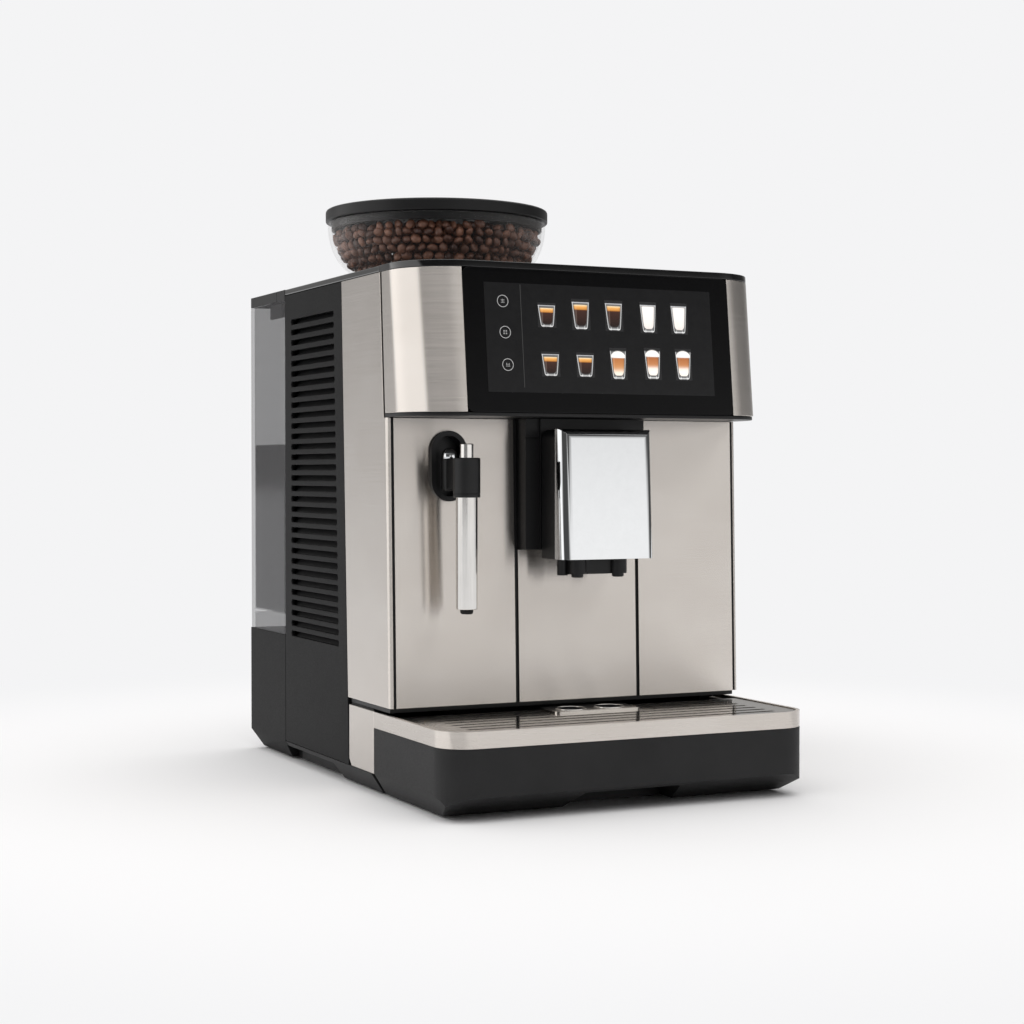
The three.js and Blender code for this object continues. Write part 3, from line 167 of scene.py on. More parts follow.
# Green solder resist over copper tracks: a dull green sheet with lighter lines 2 mm apart.
def solderResist(name):
    made, tree, shader, place = newMaterial(name, Roughness=0.35)
    tracks = addNode(tree, "ShaderNodeTexBrick", {
        "Vector": place, "Color1": colour("#0e3b22"), "Color2": colour("#124a2b"),
        "Mortar": colour("#3c7a4d"), "Scale": 1 / (8 * mm), "Mortar Size": 0.04})
    tree.links.new(tracks.outputs[0], shader.inputs["Base Color"])
    tree.links.new(bump(tree, tracks.outputs[1], 0.2, 0.1), shader.inputs["Normal"])
    return made


# Roasted beans: each a little lighter or darker, oily, with a fine wrinkled skin.
def roastedBean(name):
    made, tree, shader, place = newMaterial(name, **{"Specular IOR Level": 0.5})
    tone = addNode(tree, "ShaderNodeAttribute", attribute_name="roast").outputs["Fac"]
    skin = grain(tree, place, (2.2, 2.2, 2.2), 3.0)
    tree.links.new(blend(tree, tone, "#3d231a", "#8f6450", (0.0, 1.0)), shader.inputs["Base Color"])
    tree.links.new(between(tree, skin, 0.28, 0.5), shader.inputs["Roughness"])
    tree.links.new(bump(tree, skin, 0.35, 0.3), shader.inputs["Normal"])
    return made


# Thin clear plastic: almost unseen where it is looked at squarely. Where it turns away its pale base colour
# shows, partly the wall seen edge-on and partly a painted reflection, with the coat's highlights on it.
def clearShell(name, low, high, opacity):
    made, tree, shader, place = newMaterial(name, IOR=1.5, **{"Coat Weight": 1.0, "Coat Roughness": 0.03})
    marks = grain(tree, place, (14, 14, 14), 3.0)
    tree.links.new(blend(tree, marks, low, high), shader.inputs["Base Color"])
    tree.links.new(between(tree, marks, 0.03, 0.08), shader.inputs["Roughness"])
    turned = addNode(tree, "ShaderNodeLayerWeight", {"Blend": 0.35}).outputs["Facing"]
    shown = addNode(tree, "ShaderNodeMapRange", {"Value": turned, "To Min": opacity[0], "To Max": opacity[1]})
    tree.links.new(shown.outputs[0], shader.inputs["Alpha"])
    return made


# Printed picture behind glass: it glows like a display, in the colours of the piece's own attribute.
def displayPrint(name, glow):
    made, tree, shader, place = newMaterial(name, Roughness=0.25, **{"Emission Strength": glow})
    ink = addNode(tree, "ShaderNodeAttribute", attribute_name="ink").outputs["Color"]
    tree.links.new(ink, shader.inputs["Base Color"])
    tree.links.new(ink, shader.inputs["Emission Color"])
    return made


panelSteel = brushedSteel("belt-brushed stainless steel", "#d3ccc5", "#dfd9d3", (0.22, 0.27),
                          (70, 70, 0.45), 1.0, 0.03)
trimSteel = brushedSteel("satin brushed stainless steel", "#d0c9c2", "#dcd6d0", (0.26, 0.32),
                         (60, 60, 0.45), 0.9, 0.03)
grateSteel = brushedSteel("satin pressed stainless steel", "#cdc8c2", "#dad6d0", (0.1, 0.16),
                          (60, 0.5, 60), 0.3, 0.015)
tubeSteel = brushedSteel("polished stainless steel tube", "#d2cfcb", "#e9e7e4", (0.1, 0.14),
                         (0.7, 0.7, 40), 0.3, 0.0)
mirrorChrome = glossSurface("mirror chrome on ABS", "#dadcde", "#dddfe1", (0.015, 0.02), 1.0, 0.0)
casingPlastic = texturedPlastic("fine-textured black ABS", "#19191a", "#202021", (0.5, 0.62))
sidePlastic = texturedPlastic("deep-textured black ABS", "#0c0c0d", "#121213", (0.5, 0.62), 0.9, 0.3, 0.14)
satinPlastic = texturedPlastic("satin black ABS", "#121213", "#19191a", (0.34, 0.44), 0.7, 0.12)
greyPlastic = texturedPlastic("moulded grey nylon", "#4b4d50", "#56585b", (0.5, 0.6), 1.2)
softRubber = texturedPlastic("moulded silicone rubber", "#151515", "#1d1d1d", (0.65, 0.8), 1.5)
# a near-black board put where grooves, slots and holes would lie in shade: painted shade
paintedShadeLiner = texturedPlastic("black board painted as shade", "#0c0c0d", "#121213", (0.7, 0.85), 1.5)
lacquer = glossSurface("piano-black lacquered ABS", "#0a0a0b", "#101011", (0.06, 0.12),
                       **{"Coat Weight": 0.6})
screenGlassLook = glossSurface("black-backed cover glass", "#0a0a0b", "#0d0d0e", (0.04, 0.08), wave=0.0,
                               **{"Specular IOR Level": 0.2})
displayLook = glossSurface("unlit display layer", "#1c1c1d", "#202021", (0.1, 0.16), wave=0.0,
                           **{"Specular IOR Level": 0.3})
zincSheet = galvanisedSteel("zinc-plated steel sheet")
machinedBrass = glossSurface("machined brass", "#a98543", "#c9a55e", (0.18, 0.3), 1.0)
circuitBoard = solderResist("green solder resist")
beanSkin = roastedBean("dark roasted bean skin")
litPrint = displayPrint("lit display print", 0.55)
smokedSan = glossSurface("smoked clear SAN", "#454447", "#504f52", (0.06, 0.12), Alpha=0.33, IOR=1.57)
tankWater = glossSurface("still water in a smoked tank", "#161618", "#1e1e20", (0.03, 0.06),
                         Alpha=0.74, IOR=1.33)
# its pale grey, shown where the shell turns away, is partly a painted reflection
clearCopolyester = clearShell("clear moulded copolyester", "#d0cdcb", "#dedbd9", (0.0, 0.17))
print("materials made:", len(bpy.data.materials))


crispAngle = math.radians(37)


def smoothingTree():
    # shades a face smooth, but keeps edges sharper than the angle crisp
    tree = bpy.data.node_groups.new("smoothByAngle", "GeometryNodeTree")
    tree.interface.new_socket("Geometry", in_out="INPUT", socket_type="NodeSocketGeometry")
    tree.interface.new_socket("Geometry", in_out="OUTPUT", socket_type="NodeSocketGeometry")
    source = tree.nodes.new("NodeGroupInput")
    angle = tree.nodes.new("GeometryNodeInputMeshEdgeAngle")
    limit = addNode(tree, "FunctionNodeCompare", {"A": angle.outputs[0], "B": crispAngle},
                    data_type="FLOAT", operation="LESS_EQUAL")
    edges = addNode(tree, "GeometryNodeSetShadeSmooth", {
        0: source.outputs[0], "Shade Smooth": limit.outputs[0]}, domain="EDGE")
    faces = addNode(tree, "GeometryNodeSetShadeSmooth", {
        0: edges.outputs[0], "Shade Smooth": True}, domain="FACE")
    addNode(tree, "NodeGroupOutput", {0: faces.outputs[0]})
    return tree


smoothByAngle = smoothingTree()


def soften(piece, width, segments=2):
    # welds a CAD node's loose triangles, rounds the edges by width millimetres and evens the shading
    if piece.name in nodes:
        piece.modifiers.new("weld", "WELD").merge_threshold = 0.00002
    if width:
        edge = piece.modifiers.new("bevel", "BEVEL")
        edge.width, edge.segments = width * mm, segments
        edge.limit_method, edge.angle_limit = "ANGLE", crispAngle
        edge.use_clamp_overlap = True
    piece.modifiers.new("smooth", "NODES").node_group = smoothByAngle
    even = piece.modifiers.new("even", "WEIGHTED_NORMAL")
    even.keep_sharp, even.weight = True, 60


# each CAD node's finish, and how far its edges are rounded in millimetres
finishes = {
    panelSteel: {"left_front_panel": 1.2, "right_front_panel": 1.2, "center_front_panel": 0.5,
                 "left_head_corner": 0.9, "right_head_corner": 0.9, "left_lower_trim": 0.7,
                 "right_lower_trim": 0.7},
    trimSteel: {"tray_trim": 2.2},
    grateSteel: {"drip_grate": 0.5},
    mirrorChrome: {"spout_cover": 1.0, "steam_joint": 0.5},
    sidePlastic: {"left_side_panel": 0.7, "right_side_panel": 0.7, "rear_bulkhead": 0.3, "rear_base": 0.7,
                  "service_housing": 0.8},
    casingPlastic: {"chassis_base": 0.6, "drip_tray": 3.0, "grounds_bin": 0.5,
                    "head_shell": 0.9, "power_inlet": 0.3, "tank_valve": 0.3},
    satinPlastic: {"head_plate": 0.4, "spout_housing": 0.5, "wand_escutcheon": 0.6, "spout_carriage": 0.4,
                   "spout_body": 0.7, "coffee_outlet": 0.4, "milk_outlet": 0.3, "wand_pivot": 0.8,
                   "tank_lid": 1.6, "power_rocker": 0.3, "deck_plate": 0.3},
    lacquer: {"head_lid": 1.2, "top_cover": 1.2},
    screenGlassLook: {"screen_glass": 0.5},
    displayLook: {"display_panel": 0.2},
    softRubber: {"foot_front_left": 0.5, "foot_front_right": 0.5, "foot_rear_left": 0.5,
                 "foot_rear_right": 0.5, "wand_tip": 0.5},
    smokedSan: {"water_tank": 0.5},
    zincSheet: {"steam_boiler": 0.5, "upper_burr": 0.2, "lower_burr": 0.2, "grinder_motor": 0.5,
                "brew_piston": 0.3},
    machinedBrass: {"coffee_boiler": 0.5, "water_pump": 0.5},
    circuitBoard: {"control_board": 0.1},
    greyPlastic: {"brew_group": 0.5, "grounds_chute": 0.3, "power_supply": 0.5, "grinder_housing": 0.5,
                  "tray_float": 0.4},
}
for finish, widths in finishes.items():
    for nodeName, width in widths.items():
        target = nodes[nodeName]
        target.data.materials.clear()
        target.data.materials.append(finish)
        soften(target, width, 3 if width > 0.9 else 2)
print("CAD nodes finished")


def meshPiece(name, points, faces, finish, body, smooth=True, closed=True):
    # points in millimetres and faces as arrays of corner numbers become one piece that rides on a body
    mesh = bpy.data.meshes.new(name)
    mesh.from_pydata((np.asarray(points, float).reshape(-1, 3) * mm).tolist(), [], np.asarray(faces).tolist())
    work = bmesh.new()
    work.from_mesh(mesh)
    if closed:
        bmesh.ops.remove_doubles(work, verts=work.verts, dist=0.00001)
        bmesh.ops.recalc_face_normals(work, faces=work.faces)
    work.to_mesh(mesh)
    work.free()
    mesh.polygons.foreach_set("use_smooth", np.full(len(mesh.polygons), smooth))
    mesh.materials.append(finish)
    mesh.update()
    made = bpy.data.objects.new(name, mesh)
    bpy.context.scene.collection.objects.link(made)
    if body:
        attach(made, body)
    return made


def gridFaces(rows, columns, wrapRows=False, wrapColumns=False):
    # quads between neighbours of a grid of rows by columns, numbered row by row
    i, j = np.meshgrid(np.arange(rows if wrapRows else rows - 1),
                       np.arange(columns if wrapColumns else columns - 1), indexing="ij")
    i, j = i.ravel(), j.ravel()
    nextI, nextJ = (i + 1) % rows, (j + 1) % columns
    return np.stack([i * columns + j, i * columns + nextJ, nextI * columns + nextJ, nextI * columns + j], 1)


pole = 0.01                  # radius in millimetres that meshPiece's weld closes to a point


def turnedPiece(name, profile, centre, finish, body, steps=96):
    # a closed profile of (radius, height) pairs, counter-clockwise in section, swung round a vertical axis:
    # x = cx + r cos(a), y = cy + r sin(a), z = h
    profile = np.array(profile, float)
    angle = np.linspace(0, 2 * np.pi, steps, endpoint=False)
    radius, height = profile[:, :1], profile[:, 1:]
    points = np.stack([centre[0] + radius * np.cos(angle), centre[1] + radius * np.sin(angle),
                       height + 0 * angle], -1)
    return meshPiece(name, points, gridFaces(len(profile), steps, True, True)[:, ::-1], finish, body)


def roundedProfile(corners, steps=5):
    # each corner (radius, height, fillet) becomes the quadratic curve between its two tangent points:
    # p = (1 - t)^2 start + 2 t (1 - t) corner + t^2 end
    corners = [(*c, 0.0)[:3] for c in corners]
    result = []
    t = np.linspace(0, 1, steps)[:, None]
    for i, (u, v, fillet) in enumerate(corners):
        here = np.array([u, v])
        before, after = np.array(corners[i - 1][:2]), np.array(corners[(i + 1) % len(corners)][:2])
        if not fillet:
            result.append(here[None])
            continue
        start = here + (before - here) / np.linalg.norm(before - here) * fillet
        end = here + (after - here) / np.linalg.norm(after - here) * fillet
        result.append((1 - t) ** 2 * start + 2 * t * (1 - t) * here + t ** 2 * end)
    return np.concatenate(result)


def boxes(name, lows, highs, finish, body, width=0.0, lean=None):
    # many straight blocks as one piece: eight corners each, from arrays of lowest and highest corners,
    # and lean (slope, level) moves a point back by slope times its height over level
    lows, highs = np.atleast_2d(lows).astype(float), np.atleast_2d(highs).astype(float)
    pick = np.array([[0, 0, 0], [1, 0, 0], [1, 1, 0], [0, 1, 0], [0, 0, 1], [1, 0, 1], [1, 1, 1], [0, 1, 1]])
    points = lows[:, None] * (1 - pick) + highs[:, None] * pick
    if lean:
        points[..., 1] += lean[0] * (points[..., 2] - lean[1])
    quads = np.array([[0, 3, 2, 1], [4, 5, 6, 7], [0, 1, 5, 4], [1, 2, 6, 5], [2, 3, 7, 6], [3, 0, 4, 7]])
    faces = (quads[None] + 8 * np.arange(len(lows))[:, None, None]).reshape(-1, 4)
    made = meshPiece(name, points, faces, finish, body, False)
    if width:
        soften(made, width)
    return made


hopper = {
    "centre": (-46.6, 54.8),
    "throat": 28.2,              # radius of the way down to the grinder
    "neck": (51.8, 52.0),        # outer radius of the neck at its foot and its top
    "neckTop": 443.0,
    "funnelTop": 436.0,
    "flankFoot": (60.5, 443.2),
    "flankTop": (99.0, 491.0),
    "wall": 3.0,
    "floorThickness": 4.0,
    "rimRounding": 0.6,
}


def quarterEllipse(foot, top, steps=22):
    # from the foot (radius, height) up to the top, where it stands upright:
    # r = r0 + (r1 - r0) sin(a), z = z1 - (z1 - z0) cos(a), with a from 0 to 90 degrees
    a = np.linspace(0, np.pi / 2, steps)
    return np.stack([foot[0] + (top[0] - foot[0]) * np.sin(a), top[1] - (top[1] - foot[1]) * np.cos(a)], 1)


def hopperBowl():
    # outer flank up to the rim and inner flank back down: a closed section swung round the hopper's axis
    low, high = boxOf("hopper_bowl")
    base, rim = low[2], high[2]
    wall, rounding = hopper["wall"], hopper["rimRounding"]
    foot, top = np.array(hopper["flankFoot"]), np.array(hopper["flankTop"])
    outer = quarterEllipse(foot, top)
    inner = quarterEllipse(foot + (-wall, hopper["floorThickness"]), top - (wall, 0))[::-1]
    section = np.concatenate([
        [(hopper["throat"], base), (hopper["neck"][0], base), (hopper["neck"][1], hopper["neckTop"])], outer,
        [(top[0], rim - rounding), (top[0] - rounding, rim), (top[0] - wall + rounding, rim),
         (top[0] - wall, rim - rounding)], inner, [(hopper["throat"], hopper["funnelTop"])]])
    made = turnedPiece("hopperBowlShell", section, hopper["centre"], clearCopolyester, "hopper",
                       128)
    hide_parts("hopper_bowl")


lid = {
    "radius": 101.0,
    "base": 494.7,               # underside of the disc's rim, just above the bowl
    "thickness": 4.0,
    "skirt": (93.2, 95.7),       # inner and outer radius of the skirt
    "dish": (92.0, 89.0, 0.9),   # radius where the shallow dish starts and ends, and its depth
}


def hopperLid():
    # flat satin disc with a rounded rim and a skirt that drops into the bowl
    low, high = boxOf("hopper_lid")
    base, top = lid["base"], high[2]
    plate = top - lid["thickness"]
    inside, outside = lid["skirt"]
    dishStart, dishEnd, depth = lid["dish"]
    section = roundedProfile([
        (pole, plate), (inside, plate), (inside, low[2]), (outside, low[2]), (outside, base),
        (lid["radius"], base, 1.2), (lid["radius"], top, 2.6), (dishStart, top - 0.02, 2.0),
        (dishEnd, top - depth, 1.5), (pole, top - depth)])
    made = turnedPiece("hopperLidDisc", section, hopper["centre"], satinPlastic, "hopper_cap",
                       128)
    soften(made, 0)
    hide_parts("hopper_lid")


beans = {
    "length": 10.0, "width": 8.6,
    "flatness": 0.82,            # thickness over width
    "crease": 0.9,               # depth of the crease
    "fill": 486.5,               # height that the beans reach
    "firstLayer": 450.5, "layerStep": 6.9,
    "rings": 2, "ringStep": 8.2,
    "spacing": 0.92,             # between the middles of neighbours, over a bean's length
    "clearance": 4.4,            # from the bowl's wall to the middle of a bean
    "topClearance": 5.0, "topCrowding": 3.9, "topSink": 3.2,
    "scatter": 0.55,
    "sizes": (0.9, 1.06),
    "seed": 7,
    # outer flank of the heap's bowl as (radius, height) places
    "flank": [(52, 443), (70.5, 446.4), (81.2, 452.6), (87.6, 460), (93, 469), (96.7, 477), (98.4, 486),
              (99, 491)],
}


def flankRadius(height):
    # radius of the bowl at a height, straight between the flank's places
    places = np.array(beans["flank"])
    return np.interp(height, places[:, 1], places[:, 0])


def ringPlaces(radius, count, turn, height):
    # count places on a level ring: x = r cos(a), y = r sin(a), with a = (k + turn) 360 / count degrees
    a = (np.arange(count) + turn) * 2 * np.pi / count
    return np.stack([radius * np.cos(a), radius * np.sin(a), np.full(count, height)], 1)


def beanPlaces():
    # rings of beans against the wall in each layer, and a sunflower spiral over the top:
    # r = reach sqrt(k / n), a = k times the golden angle
    step = beans["length"] * beans["spacing"]
    places = []
    for layer, z in enumerate(np.arange(beans["firstLayer"], beans["fill"] - 3, beans["layerStep"])):
        reach = flankRadius(z) - hopper["wall"] - beans["clearance"]
        for ring in range(beans["rings"]):
            r = reach - ring * beans["ringStep"]
            places.append(ringPlaces(r, int(2 * np.pi * r / step), 0.5 * ((layer + ring) % 2), z))
    reach = flankRadius(beans["fill"]) - hopper["wall"] - beans["topClearance"]
    spots = int((reach / step) ** 2 * beans["topCrowding"])
    k = np.arange(spots) + 0.5
    r, a = reach * np.sqrt(k / spots), k * np.pi * (3 - math.sqrt(5))
    top = np.full(spots, beans["fill"] - beans["topSink"])
    places.append(np.stack([r * np.cos(a), r * np.sin(a), top], 1))
    return np.concatenate(places)


def beanShape(around, along):
    # an ellipsoid of rings with its two ends, and a crease along one side: x = a sin v, y = b cos v cos u,
    # z = c cos v sin u, less a bell-shaped crease round u = 90 degrees
    u = np.linspace(0, 2 * np.pi, around, endpoint=False)
    v = np.linspace(-np.pi / 2, np.pi / 2, along + 2)[1:-1]
    length, width = beans["length"] / 2, beans["width"] / 2
    uu, vv = np.meshgrid(u, v)
    shape = np.stack([length * np.sin(vv), width * np.cos(vv) * np.cos(uu),
                      beans["flatness"] * width * np.cos(vv) * np.sin(uu)], -1)
    shape[..., 2] -= beans["crease"] * np.exp(-((uu - np.pi / 2) / 0.35) ** 2) * np.cos(vv)
    ends = np.array([[-length, 0, 0], [length, 0, 0]])
    return np.concatenate([shape.reshape(-1, 3), ends])


def turnMatrices(quaternions):
    # the turn of each unit quaternion (w, x, y, z) as a matrix, by the usual formula
    w, x, y, z = quaternions.T
    return np.stack([
        1 - 2 * (y * y + z * z), 2 * (x * y - z * w), 2 * (x * z + y * w),
        2 * (x * y + z * w), 1 - 2 * (x * x + z * z), 2 * (y * z - x * w),
        2 * (x * z - y * w), 2 * (y * z + x * w), 1 - 2 * (x * x + y * y)], 1).reshape(-1, 3, 3)


def beanPile():
    # every bean is the same shape, turned by its own matrix, scaled a little and put in its place
    rng = np.random.default_rng(beans["seed"])
    around, along = 8, 5
    places = beanPlaces()
    places += rng.normal(0, beans["scatter"], places.shape)
    turns = rng.normal(size=(len(places), 4))
    turns /= np.linalg.norm(turns, axis=1, keepdims=True)
    shape = beanShape(around, along)
    sizes = rng.uniform(*beans["sizes"], (len(places), 1, 1))
    points = np.einsum("bij,pj->bpi", turnMatrices(turns), shape) * sizes + places[:, None]
    points += np.array([*hopper["centre"], 0])
    i = np.arange(around)
    following = (i + 1) % around
    lastRing, firstEnd = around * (along - 1), around * along
    first = np.stack([following, i, np.full(around, firstEnd)], 1)
    last = np.stack([lastRing + i, lastRing + following, np.full(around, firstEnd + 1)], 1)
    offset = (len(shape) * np.arange(len(places)))[:, None, None]
    quads = (gridFaces(along, around, False, True)[None] + offset).reshape(-1, 4)
    tris = (np.concatenate([first, last])[None] + offset).reshape(-1, 3)
    mesh = bpy.data.meshes.new("coffeeBeans")
    mesh.from_pydata((points.reshape(-1, 3) * mm).tolist(), [], quads.tolist() + tris.tolist())
    mesh.polygons.foreach_set("use_smooth", np.full(len(mesh.polygons), True))
    tone = mesh.attributes.new("roast", "FLOAT", "POINT")
    tone.data.foreach_set("value", np.repeat(rng.uniform(0, 1, len(places)), len(shape)))
    mesh.materials.append(beanSkin)
    made = bpy.data.objects.new("coffeeBeans", mesh)
    bpy.context.scene.collection.objects.link(made)
    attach(made, "hopper")
    print("beans:", len(places))


hopperBowl()
hopperLid()
beanPile()
print("hopper made")


tank = {
    "wall": 3.6, "floor": 19.0,
    "waterTop": 294.5,
    "tube": (2.5, 6.0),                   # inner and outer radius of the intake tube
    "tubePlace": (30.0, 22.0),            # from the tank's left and front
    "tubeStop": 60.0,                     # below the tank's top
    "bridge": 22.0, "bridgeBase": 427.35,
    "proud": 0.1,                         # how far the bridge's cover stands off the tank
    "tab": ((8.0, 166.0, 414.0), (11.0, 202.0, 427.3)),
}


def waterTank():
    # still water inside the walls, the intake tube, the black cover on the fixed bridge and the lid's tab
    low, high = boxOf("water_tank")
    wall, floor, proud = tank["wall"], low[2] + tank["floor"], tank["proud"]
    boxes("tankWaterBody", [low[0] + wall, low[1] + wall, floor],
          [high[0] - wall, high[1] - wall, tank["waterTop"]], tankWater, "tank", 1.2)
    inside, outside = tank["tube"]
    top = high[2] - tank["tubeStop"]
    place = (low[0] + tank["tubePlace"][0], low[1] + tank["tubePlace"][1])
    section = roundedProfile([(inside, floor), (outside, floor), (outside, top, 1), (inside, top, 1)])
    turnedPiece("tankIntakeTube", section, place, satinPlastic, "tank", 32)
    boxes("tankBridgeCover", [low[0] - proud, low[1] - proud, tank["bridgeBase"]],
          [high[0] + proud, low[1] + tank["bridge"] + proud, high[2] + proud],
          satinPlastic, "tank", 0.5)
    (x0, y0, z0), (x1, y1, z1) = tank["tab"]
    boxes("tankLidTab", [low[0] + x0, y0, z0], [low[0] + x1, y1, z1], satinPlastic, "tank_cap",
          0.8)


waterTank()
print("water tank made")


wand = {
    "bore": 2.2,
    "neck": 5.4,                          # radius of the tube inside the grip, and of its button on top
    "gripBore": 5.6, "gripRadius": 11.0,
    "lineDepth": 0.3,
    "line": (2.6, 2.8, 3.1, 3.3),         # heights of the fine groove round the grip's foot
}


def steamWand():
    # smooth grip, and a polished tube with a rounded collar and a button on top, turned about the wand's axis
    low, high = boxOf("wand_tube")
    gripLow, gripHigh = boxOf("wand_grip")
    axis = ((low[0] + high[0]) / 2, (low[1] + high[1]) / 2)
    radius = (high[0] - low[0]) / 2
    base, top = gripLow[2], gripHigh[2]
    bore, neck = wand["bore"], wand["neck"]
    tube = roundedProfile([(bore, low[2]), (radius, low[2], 0.8), (radius, base + 1), (neck, base + 1.2),
                           (neck, high[2], 0.9), (bore, high[2], 0.3)], 4)
    made = turnedPiece("wandTubeBody", tube, axis, tubeSteel, "steam_wand", 64)
    soften(made, 0)
    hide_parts("wand_tube")
    outer, inner = wand["gripRadius"], wand["gripRadius"] - wand["lineDepth"]
    line = [(r, base + z) for r, z in zip((outer, inner, inner, outer), wand["line"])]
    grip = roundedProfile([(wand["gripBore"], base), (outer, base, 0.9), *line, (outer, top, 1.4),
                           (wand["gripBore"], top)], 5)
    made = turnedPiece("wandGripSleeve", grip, axis, satinPlastic, "steam_wand", 64)
    soften(made, 0)
    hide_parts("wand_grip")


steamWand()
print("steam wand made")


grooves = {
    "across": (159.5, 161.5),             # from the middle of the machine
    "depth": (-123.8, -123.0),
    "height": (76.6, 312.4),
    "lean": (0.0264, 76.4),
}


def cornerGrooves():
    # a black liner of painted shade fills the upright groove beside each front corner, leaning back with the
    # panel
    (near, far), (front, rear), (foot, top) = grooves["across"], grooves["depth"], grooves["height"]
    lows = [[-far, front, foot], [near, front, foot]]
    highs = [[-near, rear, top], [far, rear, top]]
    boxes("cornerGrooveShadeFill", lows, highs, paintedShadeLiner, "casing", 0, grooves["lean"])


drains = {
    "across": (-11.0, 25.0), "along": -144.1,
    "base": 66.3, "floor": 67.0, "top": 71.2,
    "cup": (11.9, 12.3),                  # inner and outer radius
    "rim": (11.7, 13.3), "rimHeight": (71.3, 72.0),
}


def drainRims():
    # black cups of painted shade under the two drain holes, each with a thin bright rim: rings turned about
    # the hole's axis
    base, floor, top = drains["base"], drains["floor"], drains["top"]
    (inside, outside), (rimIn, rimOut), (rimLow, rimTop) = drains["cup"], drains["rim"], drains["rimHeight"]
    cup = [(pole, base), (outside, base), (outside, top), (inside, top), (inside, floor), (pole, floor)]
    rim = roundedProfile([(rimIn, rimLow), (rimOut, rimLow), (rimOut, rimTop, 0.4), (rimIn, rimTop, 0.4)], 4)
    for number, x in enumerate(drains["across"]):
        place = (x, drains["along"])
        turnedPiece(f"drainShadeCup{number}", cup, place, paintedShadeLiner, "grate", 48)
        turnedPiece(f"drainRim{number}", rim, place, tubeSteel, "grate", 64)


cornerGrooves()
drainRims()
print("grooves and drains made")


louvres = {
    "top": 405.7, "pitch": 9.51, "count": 31,
    "rear": 118.5, "slope": 0.0413, "seamLevel": 18.6, "seamFoot": -30.0, "margin": 20.0,
    "inner": 155.0, "outer": 160.4,       # from the middle of the machine
    "drop": -3.4, "rise": 2.6, "thickness": 1.1,
    "overlap": 4.0,                       # how far a slat runs past its slot
    # the board is painted shade: a black sheet standing in for the dark inside behind the slots
    "board": (153.4, 154.6), "boardFront": -16.0, "boardMargin": (5.0, 8.0),
}


def louvreSlatsAndShadeBoard(side, name):
    # slats that slant inwards behind each slot, and a black board of painted shade that closes the view
    inner, outer = side * louvres["inner"], side * louvres["outer"]
    heights = louvres["top"] - louvres["pitch"] * np.arange(louvres["count"])
    front = (louvres["seamFoot"] + louvres["slope"] * (heights - louvres["seamLevel"])
             + louvres["margin"] - louvres["overlap"])
    rear = np.full_like(front, louvres["rear"] + louvres["overlap"])
    drop, rise, thickness = louvres["drop"], louvres["rise"], louvres["thickness"]
    slats = []
    for x, z in ((outer, drop), (outer, drop + thickness), (inner, rise + thickness), (inner, rise)):
        slats.append(np.stack([np.stack([np.full_like(front, x), front, heights + z], 1),
                               np.stack([np.full_like(front, x), rear, heights + z], 1)], 1))
    points = np.stack(slats, 1).reshape(-1, 3)
    ring = np.array([[0, 2, 3, 1], [2, 4, 5, 3], [4, 6, 7, 5], [6, 0, 1, 7], [0, 6, 4, 2], [1, 3, 5, 7]])
    if side > 0:
        ring = ring[:, ::-1]
    faces = (ring[None] + 8 * np.arange(len(heights))[:, None, None]).reshape(-1, 4)
    meshPiece(name + "Slats", points, faces, casingPlastic, "casing", False)
    x0, x1 = sorted(side * x for x in louvres["board"])
    behind, above = louvres["boardMargin"]
    boxes(name + "Board", [x0, louvres["boardFront"], heights[-1] - above],
          [x1, louvres["rear"] + behind, heights[0] + above], paintedShadeLiner, "casing", 0.3)


louvreSlatsAndShadeBoard(-1, "leftLouvre")
louvreSlatsAndShadeBoard(1, "rightLouvre")
print("louvres made")


screen = {
    "slope": 0.1089, "level": 316.0, "front": -184.5,
    "display": (-104.5, 104.5, 332.0, 419.9),
    "divider": -72.5,
    "icons": [(-88.5, 405.0), (-87.5, 380.0), (-86.4, 354.0)],
    "iconRadius": 4.7, "iconLine": 0.22,
    # how far each layer stands off the glass
    "windowProud": 0.22, "pictureProud": 0.34, "signProud": 0.4,
}


def onScreen(u, z, proud):
    # the head's face leans back by its slope; a point stands proud of it by that many millimetres
    return np.stack([u, screen["front"] + screen["slope"] * (z - screen["level"]) - proud, z], -1)


def flatPrint(name, u, z, inks, proud):
    # a grid of places on the screen with one colour each, as one thin printed layer
    made = meshPiece(name, onScreen(u, z, proud), gridFaces(*u.shape)[:, ::-1], litPrint, "casing",
                     closed=False)
    layer = made.data.color_attributes.new("ink", "FLOAT_COLOR", "POINT")
    full = np.concatenate([inks.reshape(-1, 3), np.ones((u.size, 1))], 1)
    layer.data.foreach_set("color", full.ravel())


def mix(a, b, t):
    # the share t of the way from colour a to colour b
    return a + (b - a) * t[..., None]


def soft(value, edge, width):
    # 0 below the edge and 1 above it, over a soft width: 1 / (1 + exp(-(value - edge) / width))
    return 1 / (1 + np.exp(-(value - edge) / width))


def linear(hexText):
    # the red, green and blue of a hex colour
    return np.array(colour(hexText)[:3])


backInk = linear("#1c1c1d")


